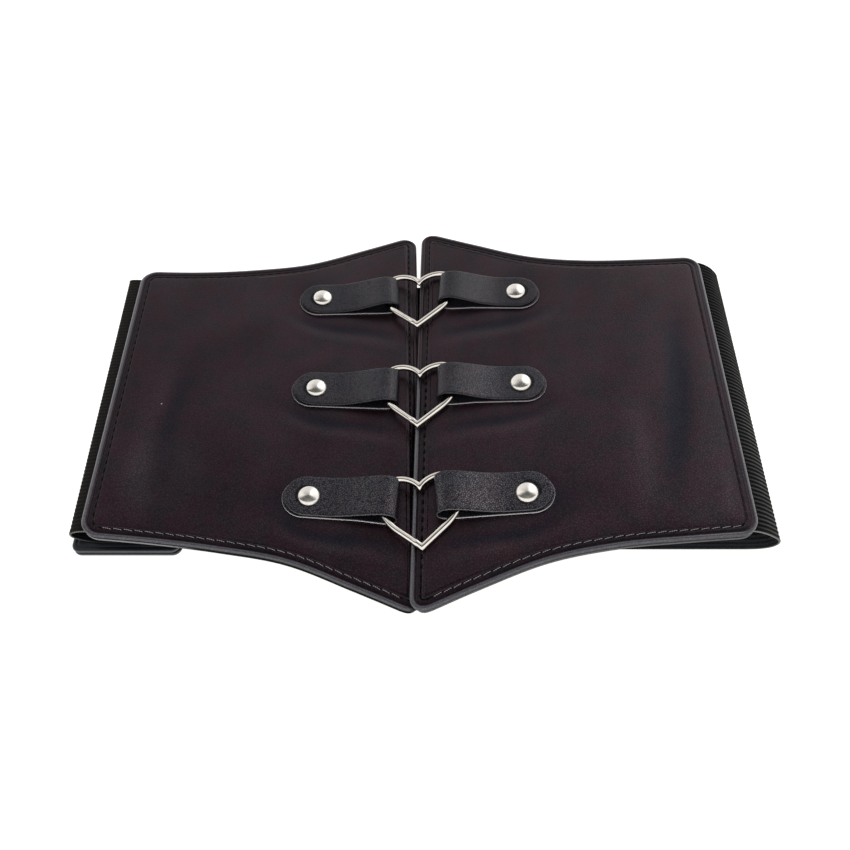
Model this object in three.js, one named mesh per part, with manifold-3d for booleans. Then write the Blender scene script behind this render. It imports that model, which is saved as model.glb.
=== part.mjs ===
// Corset-style elastic waist belt, closed at the back and lying folded flat with its front up.
// Millimetres. X runs along the girth, Y up the wearer's body, and Z = 0 is the surface it lies on.
// The origin is under the front seam, at the belt's mid height.
import * as THREE from "three";
import { mergeVertices } from "three/addons/utils/BufferGeometryUtils.js";
import Module from "manifold-3d";

const wasm = await Module();
wasm.setup();

// Air between pieces that rest on, wrap or pass through each other
const GAP = 0.25;

// Front panels: a leather face over a thin backing
// Near and far edges of each panel, as distances from its middle line at steps along its length
const PANEL_EDGES = [
  { along: 0.0, leftNear: 117.5, leftFar: 115.1, rightNear: 116.3, rightFar: 116.4 },
  { along: 0.2, leftNear: 103.8, leftFar: 103.4, rightNear: 103.1, rightFar: 103.6 },
  { along: 0.4, leftNear: 91.6, leftFar: 91.2, rightNear: 91.6, rightFar: 91.7 },
  { along: 0.6, leftNear: 85.9, leftFar: 85.5, rightNear: 85.9, rightFar: 85.9 },
  { along: 0.8, leftNear: 82.2, leftFar: 82.3, rightNear: 83.7, rightFar: 83.1 },
  { along: 1.0, leftNear: 80.5, leftFar: 79.6, rightNear: 81.4, rightFar: 82.3 },
];
const INNER_CORNER_RADIUS = 10;
const OUTER_CORNER_RADIUS = 8.3;
const CORNER_STEPS = 4;
const PANEL_STEPS = 11;
const FACE_ROWS = [0, 0.25, 0.5, 0.75, 1];
const FACE_THICKNESS = 2.5;
const BACKING_THICKNESS = 1.05;
const BACKING_INSET = 0.5;
const PANEL_THICKNESS = FACE_THICKNESS + GAP + BACKING_THICKNESS;

// The face's turned edge: how far in it rolls, and how far it drops
const EDGE_ROLL = 1.2;
const EDGE_DROP = 0.8;

// Height of each panel's top surface above the table, from the seam to its outer edge.
// The right panel lies on the left one's edge, and the fold of its elastic lifts it further out.
const PANEL_RISES = [
  { along: 0.0, left: 5.15, right: 9.2 },
  { along: 0.2, left: 5.3, right: 12.2 },
  { along: 0.4, left: 6.9, right: 15.2 },
  { along: 0.6, left: 8.6, right: 18.2 },
  { along: 0.8, left: 10.6, right: 20.9 },
  { along: 1.0, left: 14.4, right: 21.7 },
];

// Middle of each panel's inner edge, the turn in degrees that laps the near ends, and how much
// further the outer end's near and far corners rise
const PANELS = {
  left: { name: "left", side: -1, length: 148.8, x: 0.7, y: 1.4, turn: 1.16, nearLift: 0, farLift: 0 },
  right: { name: "right", side: 1, length: 147.6, x: -0.8, y: -1.4, turn: -1.24, nearLift: 0.9, farLift: 4 },
};
const LIFT_START = 0.5;
const LIFT_REACH = 82;

// Elastic band and the two plackets that its ends are sewn to
const ELASTIC_THICKNESS = 1.1;
const PLACKET_THICKNESS = 1.4;
const PLACKET_HEIGHT = 165;
const PLACKET_RADIUS = 4;
const PLACKET_BEVEL = 0.35;
const PLACKET_LEFT = -152.2;
const PLACKET_RIGHT = -104.3;
const PLACKET_Y = -2.6;
const FASTENER_MARGIN = 3.7;
const FASTENER_WIDTH = 29;
const FASTENER_HEIGHT = 147;

// Heights of the stacked layers at the placket
const MIDDLE_LAYER = PLACKET_THICKNESS + GAP;
const INNER_PLACKET = MIDDLE_LAYER + ELASTIC_THICKNESS + GAP;
const STACK_TOP = INNER_PLACKET + PLACKET_THICKNESS;

// Heights of the elastic's middle on the table, between the plackets and on top of them
const ON_TABLE = ELASTIC_THICKNESS / 2;
const IN_STACK = MIDDLE_LAYER + ELASTIC_THICKNESS / 2;
const ON_STACK = STACK_TOP + GAP + ELASTIC_THICKNESS / 2;

// Each elastic's near and far edges up the body, on its upper run and on its lower run
const RIGHT_EDGES = { upperNear: -82, lowerNear: -82, upperFar: 78.8, lowerFar: 77 };
const LEFT_EDGES = { upperNear: -77.6, lowerNear: -81, upperFar: 75, lowerFar: 77 };

// Paths of the elastic's middle: place along the girth and height, at the near and the far edge
const RIGHT_FOLD = [
  { nearX: 131.5, nearZ: 17.4, farX: 134.7, farZ: 18.5 },
  { nearX: 145.0, nearZ: 17.1, farX: 148.8, farZ: 19.6 },
  { nearX: 150.4, nearZ: 14.9, farX: 155.2, farZ: 17.4 },
  { nearX: 154.9, nearZ: 11.8, farX: 159.6, farZ: 14.0 },
  { nearX: 158.2, nearZ: 8.6, farX: 162.6, farZ: 10.2 },
  { nearX: 158.9, nearZ: 5.6, farX: 163.0, farZ: 6.6 },
  { nearX: 157.2, nearZ: 2.9, farX: 161.3, farZ: 3.3 },
  { nearX: 153.2, nearZ: 1.2, farX: 157.2, farZ: 1.3 },
  { nearX: 147.5, nearZ: 0.6, farX: 151.2, farZ: 0.6 },
  { nearX: 141.0, nearZ: ON_TABLE, farX: 144.5, farZ: ON_TABLE },
];
const RIGHT_LAP = [
  { x: -96.0, z: ON_TABLE },
  { x: -99.2, z: 0.9 },
  { x: -102.0, z: 1.75 },
  { x: -104.4, z: IN_STACK },
  { x: -115.5, z: IN_STACK },
];
const LEFT_FOLD = [
  { nearX: -131.5, nearZ: 7.7, farX: -134.5, farZ: 7.7 },
  { nearX: -144.8, nearZ: 9.5, farX: -148.4, farZ: 9.5 },
  { nearX: -149.8, nearZ: 9.8, farX: -154.7, farZ: 9.6 },
  { nearX: -152.0, nearZ: 9.0, farX: -157.4, farZ: 8.8 },
  { nearX: -151.8, nearZ: 7.5, farX: -157.5, farZ: 7.3 },
  { nearX: -149.2, nearZ: 6.1, farX: -155.0, farZ: 6.0 },
  { nearX: -145.4, nearZ: 5.35, farX: -150.8, farZ: 5.3 },
  { nearX: -141.0, nearZ: ON_STACK, farX: -145.5, farZ: ON_STACK },
];
const LEFT_LAP = [{ x: -131.5, z: ON_STACK }];
const FOLD_STEPS = 22;

// Leather tabs: straps folded double round the rings, riveted at their rounded ends
const STRAP_WIDTH = 20;
const STRAP_THICKNESS = 1.2;
const ROUND_END_CENTRE = -2.2;
const ROUND_END_STEPS = [0.98, 0.87, 0.68, 0.4];
const LOWER_LAYER = GAP + STRAP_THICKNESS / 2;
const UPPER_LAYER = LOWER_LAYER + STRAP_THICKNESS + GAP;
const STRAP_TOP = UPPER_LAYER + STRAP_THICKNESS / 2;

// Middle of the strap between its rounded ends: how far from the rivet towards the seam, how
// high above the panel, and how much each edge is pinched in where the strap turns round the ring
const STRAP_PATH = [
  { reach: -2.2, height: LOWER_LAYER, pinch: 0 },
  { reach: 10.0, height: LOWER_LAYER, pinch: 0 },
  { reach: 22.0, height: LOWER_LAYER, pinch: 0 },
  { reach: 35.0, height: LOWER_LAYER, pinch: 0.1 },
  { reach: 38.2, height: 1.05, pinch: 1 },
  { reach: 39.8, height: 2.1, pinch: 1.6 },
  { reach: 40.4, height: 3.8, pinch: 1.8 },
  { reach: 39.9, height: 5.6, pinch: 1.8 },
  { reach: 38.0, height: 6.9, pinch: 1.8 },
  { reach: 35.0, height: 7.3, pinch: 1.6 },
  { reach: 31.0, height: 6.9, pinch: 1.2 },
  { reach: 25.0, height: 5.5, pinch: 0.5 },
  { reach: 18.0, height: 3.7, pinch: 0 },
  { reach: 11.0, height: 2.5, pinch: 0 },
  { reach: 5.5, height: UPPER_LAYER, pinch: 0 },
  { reach: -2.2, height: UPPER_LAYER, pinch: 0 },
];

// Rivet places on both panels, and the turn in degrees of the left and the right tab
const RIVET_ALONG = 51;
const TAB_ROWS = [
  { name: "top", height: 61.9, left: 3.4, right: 4.8 },
  { name: "middle", height: 1.1, left: -1.5, right: 1.3 },
  { name: "bottom", height: -60.4, left: -3.7, right: -2.7 },
];

// Domed rivet: heights along its axis count from the panel's top surface
const CAP_RADIUS = 5;
const CAP_HEIGHT = 2.3;
const CAP_STEPS = 4;
const CAP_BASE = STRAP_TOP + GAP;
const POST_RADIUS = 1.6;
const HOLE_RADIUS = POST_RADIUS + GAP;
const BACK_CAP_RADIUS = 4.2;
const BACK_CAP_THICKNESS = 0.7;
const BACK_CAP_TOP = -(PANEL_THICKNESS + GAP);
const RIVET_SIDES = 18;
const CUTTER_LENGTH = 30;

// Heart rings: one half runs from the tip to the notch, as straight legs and left turns in degrees
const WIRE_RADIUS = 1.5;
const WIRE_SIDES = 8;
const LEG_HEADING = 41;
const HEART_LEG = 14.1;
const HEART_ARCS = [
  { radius: 21.3, turn: 49, steps: 4 },
  { radius: 9.5, turn: 90, steps: 5 },
  { radius: 8.1, turn: 48, steps: 3 },
];

// Each ring's tip and turn in degrees; it leans on the lower layers of its left and right tab
const RINGS = [
  { name: "top", x: -0.4, y: 42.2, turn: -1.6 },
  { name: "middle", x: 0, y: -21.1, turn: -2.2 },
  { name: "bottom", x: 2.4, y: -85.8, turn: 2.4 },
];
const LEFT_REST = 19.5;
const RIGHT_REST = 13;
const WIRE_SEAT = LOWER_LAYER + STRAP_THICKNESS / 2 + GAP + WIRE_RADIUS;

// Materials

function leather(color, roughness) {
  return new THREE.MeshStandardMaterial({ color, roughness, metalness: 0 });
}
const faceLeather = leather(0x2b2629, 0.5);
const tabLeather = leather(0x24252c, 0.6);
const placketLeather = leather(0x2a2a2e, 0.55);
const backingFelt = leather(0x4a484c, 0.9);
const wovenElastic = leather(0x1d1b1e, 0.95);
const hookTape = leather(0x19191b, 0.95);
const nickel = new THREE.MeshStandardMaterial({ color: 0xe6e0d4, roughness: 0.25, metalness: 1 });

// Curves and tables

function radians(degrees) {
  return THREE.MathUtils.degToRad(degrees);
}

// Value of a table's column at a place from 0 to 1, on a smooth curve through evenly spaced rows
function smooth(table, column, along) {
  const last = table.length - 1;
  const place = THREE.MathUtils.clamp(along, 0, 1) * last;
  const row = Math.min(Math.floor(place), last - 1);
  const value = (index) => {
    if (index < 0) return 2 * table[0][column] - table[1][column];
    if (index > last) return 2 * table[last][column] - table[last - 1][column];
    return table[index][column];
  };
  const t = place - row;
  const startSlope = (value(row + 1) - value(row - 1)) / 2;
  const endSlope = (value(row + 2) - value(row)) / 2;
  const rise = value(row + 1) - value(row);
  const bend = 3 * rise - 2 * startSlope - endSlope;
  const twist = startSlope + endSlope - 2 * rise;
  return value(row) + t * (startSlope + t * (bend + t * twist));
}

// A path in a plane, moved sideways by a distance along its own normals
function offsetPath(path, distance) {
  return path.map((point, i) => {
    const before = path[Math.max(i - 1, 0)];
    const after = path[Math.min(i + 1, path.length - 1)];
    const along = point.clone().sub(before).normalize();
    along.add(after.clone().sub(point).normalize()).normalize();
    return new THREE.Vector2(point.x - along.y * distance, point.y + along.x * distance);
  });
}

// Closed bodies

// A body from points and triangles, turned inside out if its faces point inwards
function closedBody(points, triangles) {
  let volume = 0;
  for (const [a, b, c] of triangles) {
    volume += points[a].dot(points[b].clone().cross(points[c])) / 6;
  }
  const faces = volume > 0 ? triangles : triangles.map(([a, b, c]) => [a, c, b]);
  const geometry = new THREE.BufferGeometry().setFromPoints(points);
  geometry.setIndex(faces.flat());
  geometry.computeVertexNormals();
  return geometry;
}

// A body lofted through sections with the same number of points, with ends or closed on itself
function loft(sections, closed) {
  const count = sections[0].length;
  const triangles = [];
  const spans = closed ? sections.length : sections.length - 1;
  for (let i = 0; i < spans; i++) {
    const next = (i + 1) % sections.length;
    for (let k = 0; k < count; k++) {
      const side = (k + 1) % count;
      const corners = [i * count + k, i * count + side, next * count + side, next * count + k];
      triangles.push([corners[0], corners[1], corners[2]]);
      triangles.push([corners[0], corners[2], corners[3]]);
    }
  }
  if (!closed) {
    const end = (sections.length - 1) * count;
    for (let k = 1; k < count - 1; k++) {
      triangles.push([0, k + 1, k]);
      triangles.push([end, end + k, end + k + 1]);
    }
  }
  return closedBody(sections.flat(), triangles);
}

// A flat band that follows two paths of one length, one for each of its edges
function band(nearPath, farPath, thickness, toPoint) {
  const half = thickness / 2;
  const nearLow = offsetPath(nearPath, -half);
  const nearHigh = offsetPath(nearPath, half);
  const farLow = offsetPath(farPath, -half);
  const farHigh = offsetPath(farPath, half);
  const sections = nearPath.map((_, i) => [
    toPoint(nearLow[i], i, -1),
    toPoint(nearHigh[i], i, -1),
    toPoint(farHigh[i], i, 1),
    toPoint(farLow[i], i, 1),
  ]);
  return loft(sections, false);
}

function toSolid(geometry) {
  const plain = geometry.clone();
  plain.deleteAttribute("normal");
  plain.deleteAttribute("uv");
  const merged = mergeVertices(plain, 1e-4);
  const mesh = new wasm.Mesh({
    numProp: 3,
    vertProperties: new Float32Array(merged.attributes.position.array),
    triVerts: new Uint32Array(merged.index.array),
  });
  return new wasm.Manifold(mesh);
}

function cut(geometry, cutters) {
  let solid = toSolid(geometry);
  for (const cutter of cutters) {
    solid = solid.subtract(toSolid(cutter));
  }
  const mesh = solid.getMesh();
  const result = new THREE.BufferGeometry();
  result.setAttribute("position", new THREE.BufferAttribute(mesh.vertProperties, 3));
  result.setIndex(new THREE.BufferAttribute(mesh.triVerts, 1));
  result.computeVertexNormals();
  return result;
}

// Front panels

// Height of a panel's top surface, by the distances from its inner edge and its middle line
function panelTop(panel, along, up) {
  const place = along / panel.length;
  const lift = THREE.MathUtils.mapLinear(up, -LIFT_REACH, LIFT_REACH, panel.nearLift, panel.farLift);
  const share = Math.max(0, (place - LIFT_START) / (1 - LIFT_START));
  return smooth(PANEL_RISES, panel.name, place) + lift * share * share;
}

// A point on or above a panel: along it from the inner edge, up it, and over its top surface
function panelPoint(panel, along, up, over) {
  const turn = radians(panel.turn);
  const x = panel.side * along;
  return new THREE.Vector3(
    panel.x + x * Math.cos(turn) - up * Math.sin(turn),
    panel.y + x * Math.sin(turn) + up * Math.cos(turn),
    panelTop(panel, along, up) + over,
  );
}

// Distance of a panel's near or far edge from its middle line, with the corners rounded
function panelEdge(panel, edge, along, inset) {
  const straight = smooth(PANEL_EDGES, panel.name + edge, along / panel.length) - inset;
  const inner = INNER_CORNER_RADIUS - inset;
  const outer = OUTER_CORNER_RADIUS - inset;
  const toInner = Math.max(0, INNER_CORNER_RADIUS - along);
  const toOuter = Math.max(0, along - (panel.length - OUTER_CORNER_RADIUS));
  const innerCut = inner - Math.sqrt(Math.max(0, inner * inner - toInner * toInner));
  const outerCut = outer - Math.sqrt(Math.max(0, outer * outer - toOuter * toOuter));
  return straight - innerCut - outerCut;
}

// Distances from the inner edge at which the panel has a column of points
function panelColumns(panel, inset) {
  const columns = [];
  const inner = INNER_CORNER_RADIUS - inset;
  const outer = OUTER_CORNER_RADIUS - inset;
  for (let i = 0; i <= CORNER_STEPS; i++) {
    const angle = (i / CORNER_STEPS) * (Math.PI / 2);
    columns.push(INNER_CORNER_RADIUS - inner * Math.cos(angle));
  }
  const middle = panel.length - INNER_CORNER_RADIUS - OUTER_CORNER_RADIUS;
  for (let i = 1; i < PANEL_STEPS; i++) {
    columns.push(INNER_CORNER_RADIUS + (middle * i) / PANEL_STEPS);
  }
  for (let i = CORNER_STEPS; i >= 0; i--) {
    const angle = (i / CORNER_STEPS) * (Math.PI / 2);
    columns.push(panel.length - OUTER_CORNER_RADIUS + outer * Math.cos(angle));
  }
  return columns;
}

// One layer of a panel between two depths under its top surface, with a dropped top edge
function panelLayer(panel, inset, over, under, drop) {
  const columns = panelColumns(panel, inset);
  const points = [];
  const rows = FACE_ROWS.length + 2;
  for (const level of [over, under]) {
    columns.forEach((along, i) => {
      const near = -panelEdge(panel, "Near", along, inset);
      const far = panelEdge(panel, "Far", along, inset);
      const inside = FACE_ROWS.map((row) => THREE.MathUtils.lerp(near + EDGE_ROLL, far - EDGE_ROLL, row));
      const ups = [near, ...inside, far];
      ups.forEach((up, j) => {
        const onEdge = i === 0 || i === columns.length - 1 || j === 0 || j === rows - 1;
        const lowered = level === over && onEdge ? drop : 0;
        points.push(panelPoint(panel, along, up, level - lowered));
      });
    });
  }
  return closedBody(points, slabTriangles(columns.length, rows));
}

// Triangles of a slab whose upper and lower sides are equal grids of points
function slabTriangles(columns, rows) {
  const triangles = [];
  const below = columns * rows;
  const at = (i, j) => i * rows + j;
  for (let i = 0; i < columns - 1; i++) {
    for (let j = 0; j < rows - 1; j++) {
      const corners = [at(i, j), at(i + 1, j), at(i + 1, j + 1), at(i, j + 1)];
      const [a, b, c, d] = corners;
      triangles.push([a, b, c], [a, c, d]);
      triangles.push([below + a, below + c, below + b], [below + a, below + d, below + c]);
    }
  }
  const border = [];
  for (let i = 0; i < columns; i++) border.push(at(i, 0));
  for (let j = 1; j < rows; j++) border.push(at(columns - 1, j));
  for (let i = columns - 2; i >= 0; i--) border.push(at(i, rows - 1));
  for (let j = rows - 2; j > 0; j--) border.push(at(0, j));
  border.forEach((here, k) => {
    const next = border[(k + 1) % border.length];
    triangles.push([here, below + here, below + next], [here, below + next, next]);
  });
  return triangles;
}

// The frame of a rivet: origin on the panel's top surface, Z square to it
function rivetFrame(panel, row) {
  const point = (along, up) => panelPoint(panel, along, up, 0);
  const origin = point(RIVET_ALONG, row.height);
  const x = point(RIVET_ALONG + panel.side, row.height).sub(point(RIVET_ALONG - panel.side, row.height));
  const y = point(RIVET_ALONG, row.height + 1).sub(origin);
  x.normalize();
  const z = x.clone().cross(y).normalize();
  y.copy(z).cross(x);
  return new THREE.Matrix4().makeBasis(x, y, z).setPosition(origin);
}

function rivetHole(panel, row) {
  const cutter = new THREE.CylinderGeometry(HOLE_RADIUS, HOLE_RADIUS, CUTTER_LENGTH, RIVET_SIDES);
  return cutter.rotateX(Math.PI / 2).applyMatrix4(rivetFrame(panel, row));
}

function frontPanel(panel) {
  const holes = TAB_ROWS.map((row) => rivetHole(panel, row));
  return cut(panelLayer(panel, 0, 0, -FACE_THICKNESS, EDGE_DROP), holes);
}

function panelBacking(panel) {
  const holes = TAB_ROWS.map((row) => rivetHole(panel, row));
  const top = -(FACE_THICKNESS + GAP);
  return cut(panelLayer(panel, BACKING_INSET, top, -PANEL_THICKNESS, 0), holes);
}

// Elastic band

// One edge of a fold as a smooth curve of places along the girth and heights
function foldEdge(rows, x, z) {
  const points = rows.map((row) => new THREE.Vector3(row[x], row[z], 0));
  const curve = new THREE.CatmullRomCurve3(points, false, "centripetal");
  return curve.getPoints(FOLD_STEPS).map((point) => new THREE.Vector2(point.x, point.y));
}

function elastic(fold, lap, edges) {
  const flat = lap.map((row) => new THREE.Vector2(row.x, row.z));
  const near = [...foldEdge(fold, "nearX", "nearZ"), ...flat];
  const far = [...foldEdge(fold, "farX", "farZ"), ...flat];
  const toPoint = (point, i, edge) => {
    const round = Math.min(i / FOLD_STEPS, 1);
    const nearY = THREE.MathUtils.lerp(edges.upperNear, edges.lowerNear, round);
    const farY = THREE.MathUtils.lerp(edges.upperFar, edges.lowerFar, round);
    return new THREE.Vector3(point.x, edge < 0 ? nearY : farY, point.y);
  };
  return band(near, far, ELASTIC_THICKNESS, toPoint);
}

// Plackets and the fastener between them

function roundedRectangle(width, height, radius) {
  const x = width / 2 - radius;
  const y = height / 2 - radius;
  const shape = new THREE.Shape();
  shape.absarc(x, y, radius, 0, Math.PI / 2, false);
  shape.absarc(-x, y, radius, Math.PI / 2, Math.PI, false);
  shape.absarc(-x, -y, radius, Math.PI, (3 * Math.PI) / 2, false);
  shape.absarc(x, -y, radius, (3 * Math.PI) / 2, 2 * Math.PI, false);
  return shape;
}

function placket() {
  const inset = 2 * PLACKET_BEVEL;
  const width = PLACKET_RIGHT - PLACKET_LEFT - inset;
  const shape = roundedRectangle(width, PLACKET_HEIGHT - inset, PLACKET_RADIUS - PLACKET_BEVEL);
  const geometry = new THREE.ExtrudeGeometry(shape, {
    depth: PLACKET_THICKNESS - inset,
    bevelThickness: PLACKET_BEVEL,
    bevelSize: PLACKET_BEVEL,
    bevelSegments: 1,
    curveSegments: 5,
  });
  return geometry.translate((PLACKET_LEFT + PLACKET_RIGHT) / 2, PLACKET_Y, PLACKET_BEVEL);
}

function fastener() {
  const geometry = new THREE.BoxGeometry(FASTENER_WIDTH, FASTENER_HEIGHT, ELASTIC_THICKNESS);
  return geometry.translate(PLACKET_LEFT + FASTENER_MARGIN + FASTENER_WIDTH / 2, PLACKET_Y, 0);
}

// Tabs

// A layer's rounded end beyond the rivet, from its tip to its full width
function strapEnd(height) {
  const half = STRAP_WIDTH / 2;
  return ROUND_END_STEPS.map((step) => ({
    reach: ROUND_END_CENTRE - step * half,
    height,
    pinch: half - half * Math.sqrt(1 - step * step),
  }));
}

function tab(panel, row) {
  const turn = radians(row[panel.name]);
  const rows = [...strapEnd(LOWER_LAYER), ...STRAP_PATH, ...strapEnd(UPPER_LAYER).reverse()];
  const path = rows.map((station) => new THREE.Vector2(station.reach, station.height));
  const toPoint = (point, i, edge) => {
    const across = edge * (STRAP_WIDTH / 2 - rows[i].pinch);
    const along = RIVET_ALONG - point.x * Math.cos(turn) + across * Math.sin(turn);
    const up = row.height + point.x * Math.sin(turn) + across * Math.cos(turn);
    return panelPoint(panel, along, up, point.y);
  };
  return cut(band(path, path, STRAP_THICKNESS, toPoint), [rivetHole(panel, row)]);
}

// Rivets: a domed cap, a post through tab and panel, and a flat cap behind

function rivet() {
  const profile = [];
  for (let i = 0; i <= CAP_STEPS; i++) {
    const angle = (i / CAP_STEPS) * (Math.PI / 2);
    profile.push(new THREE.Vector2(CAP_RADIUS * Math.sin(angle), CAP_BASE + CAP_HEIGHT * Math.cos(angle)));
  }
  profile.push(new THREE.Vector2(POST_RADIUS, CAP_BASE));
  profile.push(new THREE.Vector2(POST_RADIUS, BACK_CAP_TOP));
  profile.push(new THREE.Vector2(BACK_CAP_RADIUS, BACK_CAP_TOP));
  profile.push(new THREE.Vector2(BACK_CAP_RADIUS, BACK_CAP_TOP - BACK_CAP_THICKNESS));
  profile.push(new THREE.Vector2(0, BACK_CAP_TOP - BACK_CAP_THICKNESS));
  return new THREE.LatheGeometry(profile.reverse(), RIVET_SIDES).rotateX(Math.PI / 2);
}

// Heart rings

// One half of the heart's middle line, from the tip up the right side to the notch
function heartHalf() {
  let heading = radians(LEG_HEADING);
  const direction = () => new THREE.Vector2(Math.cos(heading), Math.sin(heading));
  const points = [new THREE.Vector2(0, 0)];
  points.push(direction().multiplyScalar(HEART_LEG));
  for (const arc of HEART_ARCS) {
    const step = radians(arc.turn / arc.steps);
    const chord = 2 * arc.radius * Math.sin(step / 2);
    for (let i = 0; i < arc.steps; i++) {
      heading += step / 2;
      points.push(points.at(-1).clone().addScaledVector(direction(), chord));
      heading += step / 2;
    }
  }
  const end = points.at(-1);
  points.push(end.clone().addScaledVector(direction(), -end.x / Math.cos(heading)));
  return points;
}

function heartRing() {
  const half = heartHalf();
  const mirrored = half.slice(1, -1).reverse().map((point) => new THREE.Vector2(-point.x, point.y));
  const path = [...half, ...mirrored];
  const sections = path.map((point, i) => {
    const before = point.clone().sub(path.at(i - 1)).normalize();
    const after = path[(i + 1) % path.length].clone().sub(point).normalize();
    const along = before.clone().add(after).normalize();
    const mitre = 1 / along.dot(after);
    const section = [];
    for (let k = 0; k < WIRE_SIDES; k++) {
      const angle = (2 * Math.PI * k) / WIRE_SIDES;
      const sideways = WIRE_RADIUS * mitre * Math.cos(angle);
      const height = WIRE_RADIUS * Math.sin(angle);
      section.push(new THREE.Vector3(point.x - along.y * sideways, point.y + along.x * sideways, height));
    }
    return section;
  });
  return loft(sections, true);
}

// Assembly

const belt = new THREE.Group();

function add(name, geometry, material) {
  const mesh = new THREE.Mesh(geometry, material);
  mesh.name = name;
  belt.add(mesh);
  return mesh;
}

for (const panel of Object.values(PANELS)) {
  add(`front_panel_${panel.name}`, frontPanel(panel), faceLeather);
  add(`panel_backing_${panel.name}`, panelBacking(panel), backingFelt);
}

add("elastic_left", elastic(LEFT_FOLD, LEFT_LAP, LEFT_EDGES), wovenElastic);
add("elastic_right", elastic(RIGHT_FOLD, RIGHT_LAP, RIGHT_EDGES), wovenElastic);
add("placket_outer", placket(), placketLeather);
add("placket_inner", placket(), placketLeather).position.z = INNER_PLACKET;
add("placket_fastener", fastener(), hookTape).position.z = MIDDLE_LAYER + ELASTIC_THICKNESS / 2;

for (const row of TAB_ROWS) {
  for (const panel of Object.values(PANELS)) {
    add(`tab_${row.name}_${panel.name}`, tab(panel, row), tabLeather);
    const cap = add(`rivet_${row.name}_${panel.name}`, rivet(), nickel);
    cap.applyMatrix4(rivetFrame(panel, row));
  }
}

const leftSeat = panelTop(PANELS.left, LEFT_REST, 0) + WIRE_SEAT;
const rightSeat = panelTop(PANELS.right, RIGHT_REST, 0) + WIRE_SEAT;
const ringSlope = (rightSeat - leftSeat) / (LEFT_REST + RIGHT_REST);
const ringHeight = leftSeat + ringSlope * LEFT_REST;

for (const ring of RINGS) {
  const mesh = add(`heart_ring_${ring.name}`, heartRing(), nickel);
  mesh.position.set(ring.x, ring.y, ringHeight + ringSlope * ring.x);
  mesh.rotation.set(0, -Math.atan(ringSlope), radians(ring.turn), "YXZ");
}

export default belt;
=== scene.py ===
import math
from types import SimpleNamespace

import bpy
import numpy as np
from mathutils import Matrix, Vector


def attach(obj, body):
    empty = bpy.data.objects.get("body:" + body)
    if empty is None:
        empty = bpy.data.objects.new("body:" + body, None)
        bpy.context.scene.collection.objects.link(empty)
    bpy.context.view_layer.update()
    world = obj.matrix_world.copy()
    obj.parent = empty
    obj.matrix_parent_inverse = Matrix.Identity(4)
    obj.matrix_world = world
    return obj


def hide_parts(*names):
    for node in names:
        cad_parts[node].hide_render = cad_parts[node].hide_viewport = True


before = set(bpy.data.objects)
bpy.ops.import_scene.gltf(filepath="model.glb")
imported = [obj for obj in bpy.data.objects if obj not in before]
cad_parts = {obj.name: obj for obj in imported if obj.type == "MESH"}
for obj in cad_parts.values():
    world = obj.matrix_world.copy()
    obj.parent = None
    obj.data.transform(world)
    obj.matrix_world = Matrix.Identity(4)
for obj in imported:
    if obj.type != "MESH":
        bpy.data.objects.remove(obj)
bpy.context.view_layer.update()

# Corset-style elastic waist belt, lying folded flat with its front up.
# Millimetres and degrees throughout; points are turned into metres as the meshes are made.
METRE = 0.001

# Front panels, repeated from the part
PANEL_EDGES = {
    "left": {"near": [117.5, 103.8, 91.6, 85.9, 82.2, 80.5], "far": [115.1, 103.4, 91.2, 85.5, 82.3, 79.6]},
    "right": {"near": [116.3, 103.1, 91.6, 85.9, 83.7, 81.4], "far": [116.4, 103.6, 91.7, 85.9, 83.1, 82.3]},
}
PANEL_RISES = {
    "left": [5.15, 5.3, 6.9, 8.6, 10.6, 14.4],
    "right": [9.2, 12.2, 15.2, 18.2, 20.9, 21.7],
}
PANELS = {
    "left": {"name": "left", "side": -1, "length": 148.8, "x": 0.7, "y": 1.4, "turn": 1.16,
             "nearLift": 0, "farLift": 0},
    "right": {"name": "right", "side": 1, "length": 147.6, "x": -0.8, "y": -1.4, "turn": -1.24,
              "nearLift": 0.9, "farLift": 4},
}
INNER_CORNER_RADIUS = 10
OUTER_CORNER_RADIUS = 8.3
BACKING_TOP = -2.75
BACKING_BOTTOM = -3.8
BACKING_INSET = 0.4
LIFT_START = 0.5
LIFT_REACH = 82

# Elastic, plackets and fastener, repeated from the part
ELASTIC_THICKNESS = 1.1
ON_TABLE = 0.55
IN_STACK = 2.2
ON_STACK = 5.2
RIGHT_EDGES = {"upperNear": -82, "lowerNear": -82, "upperFar": 78.8, "lowerFar": 77}
LEFT_EDGES = {"upperNear": -77.6, "lowerNear": -81, "upperFar": 75, "lowerFar": 77}
RIGHT_FOLD = [
    (131.5, 17.4, 134.7, 18.5), (145.0, 17.1, 148.8, 19.6), (150.4, 14.9, 155.2, 17.4),
    (154.9, 11.8, 159.6, 14.0), (158.2, 8.6, 162.6, 10.2), (158.9, 5.6, 163.0, 6.6),
    (157.2, 2.9, 161.3, 3.3), (153.2, 1.2, 157.2, 1.3), (147.5, 0.6, 151.2, 0.6),
    (141.0, 0.55, 144.5, 0.55),
]
RIGHT_LAP = [(-96.0, ON_TABLE), (-99.2, 0.9), (-102.0, 1.75), (-104.4, IN_STACK), (-115.5, IN_STACK)]
LEFT_FOLD = [
    (-131.5, 7.7, -134.5, 7.7), (-144.8, 9.5, -148.4, 9.5), (-149.8, 9.8, -154.7, 9.6),
    (-152.0, 9.0, -157.4, 8.8), (-151.8, 7.5, -157.5, 7.3), (-149.2, 6.1, -155.0, 6.0),
    (-145.4, 5.35, -150.8, 5.3), (-141.0, ON_STACK, -145.5, ON_STACK),
]
LEFT_LAP = [(-131.5, ON_STACK)]
PLACKET = {"left": -152.2, "right": -104.3, "near": -85.1, "far": 79.9, "radius": 4, "thickness": 1.4}
PLACKET_INNER = 3.0
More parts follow.
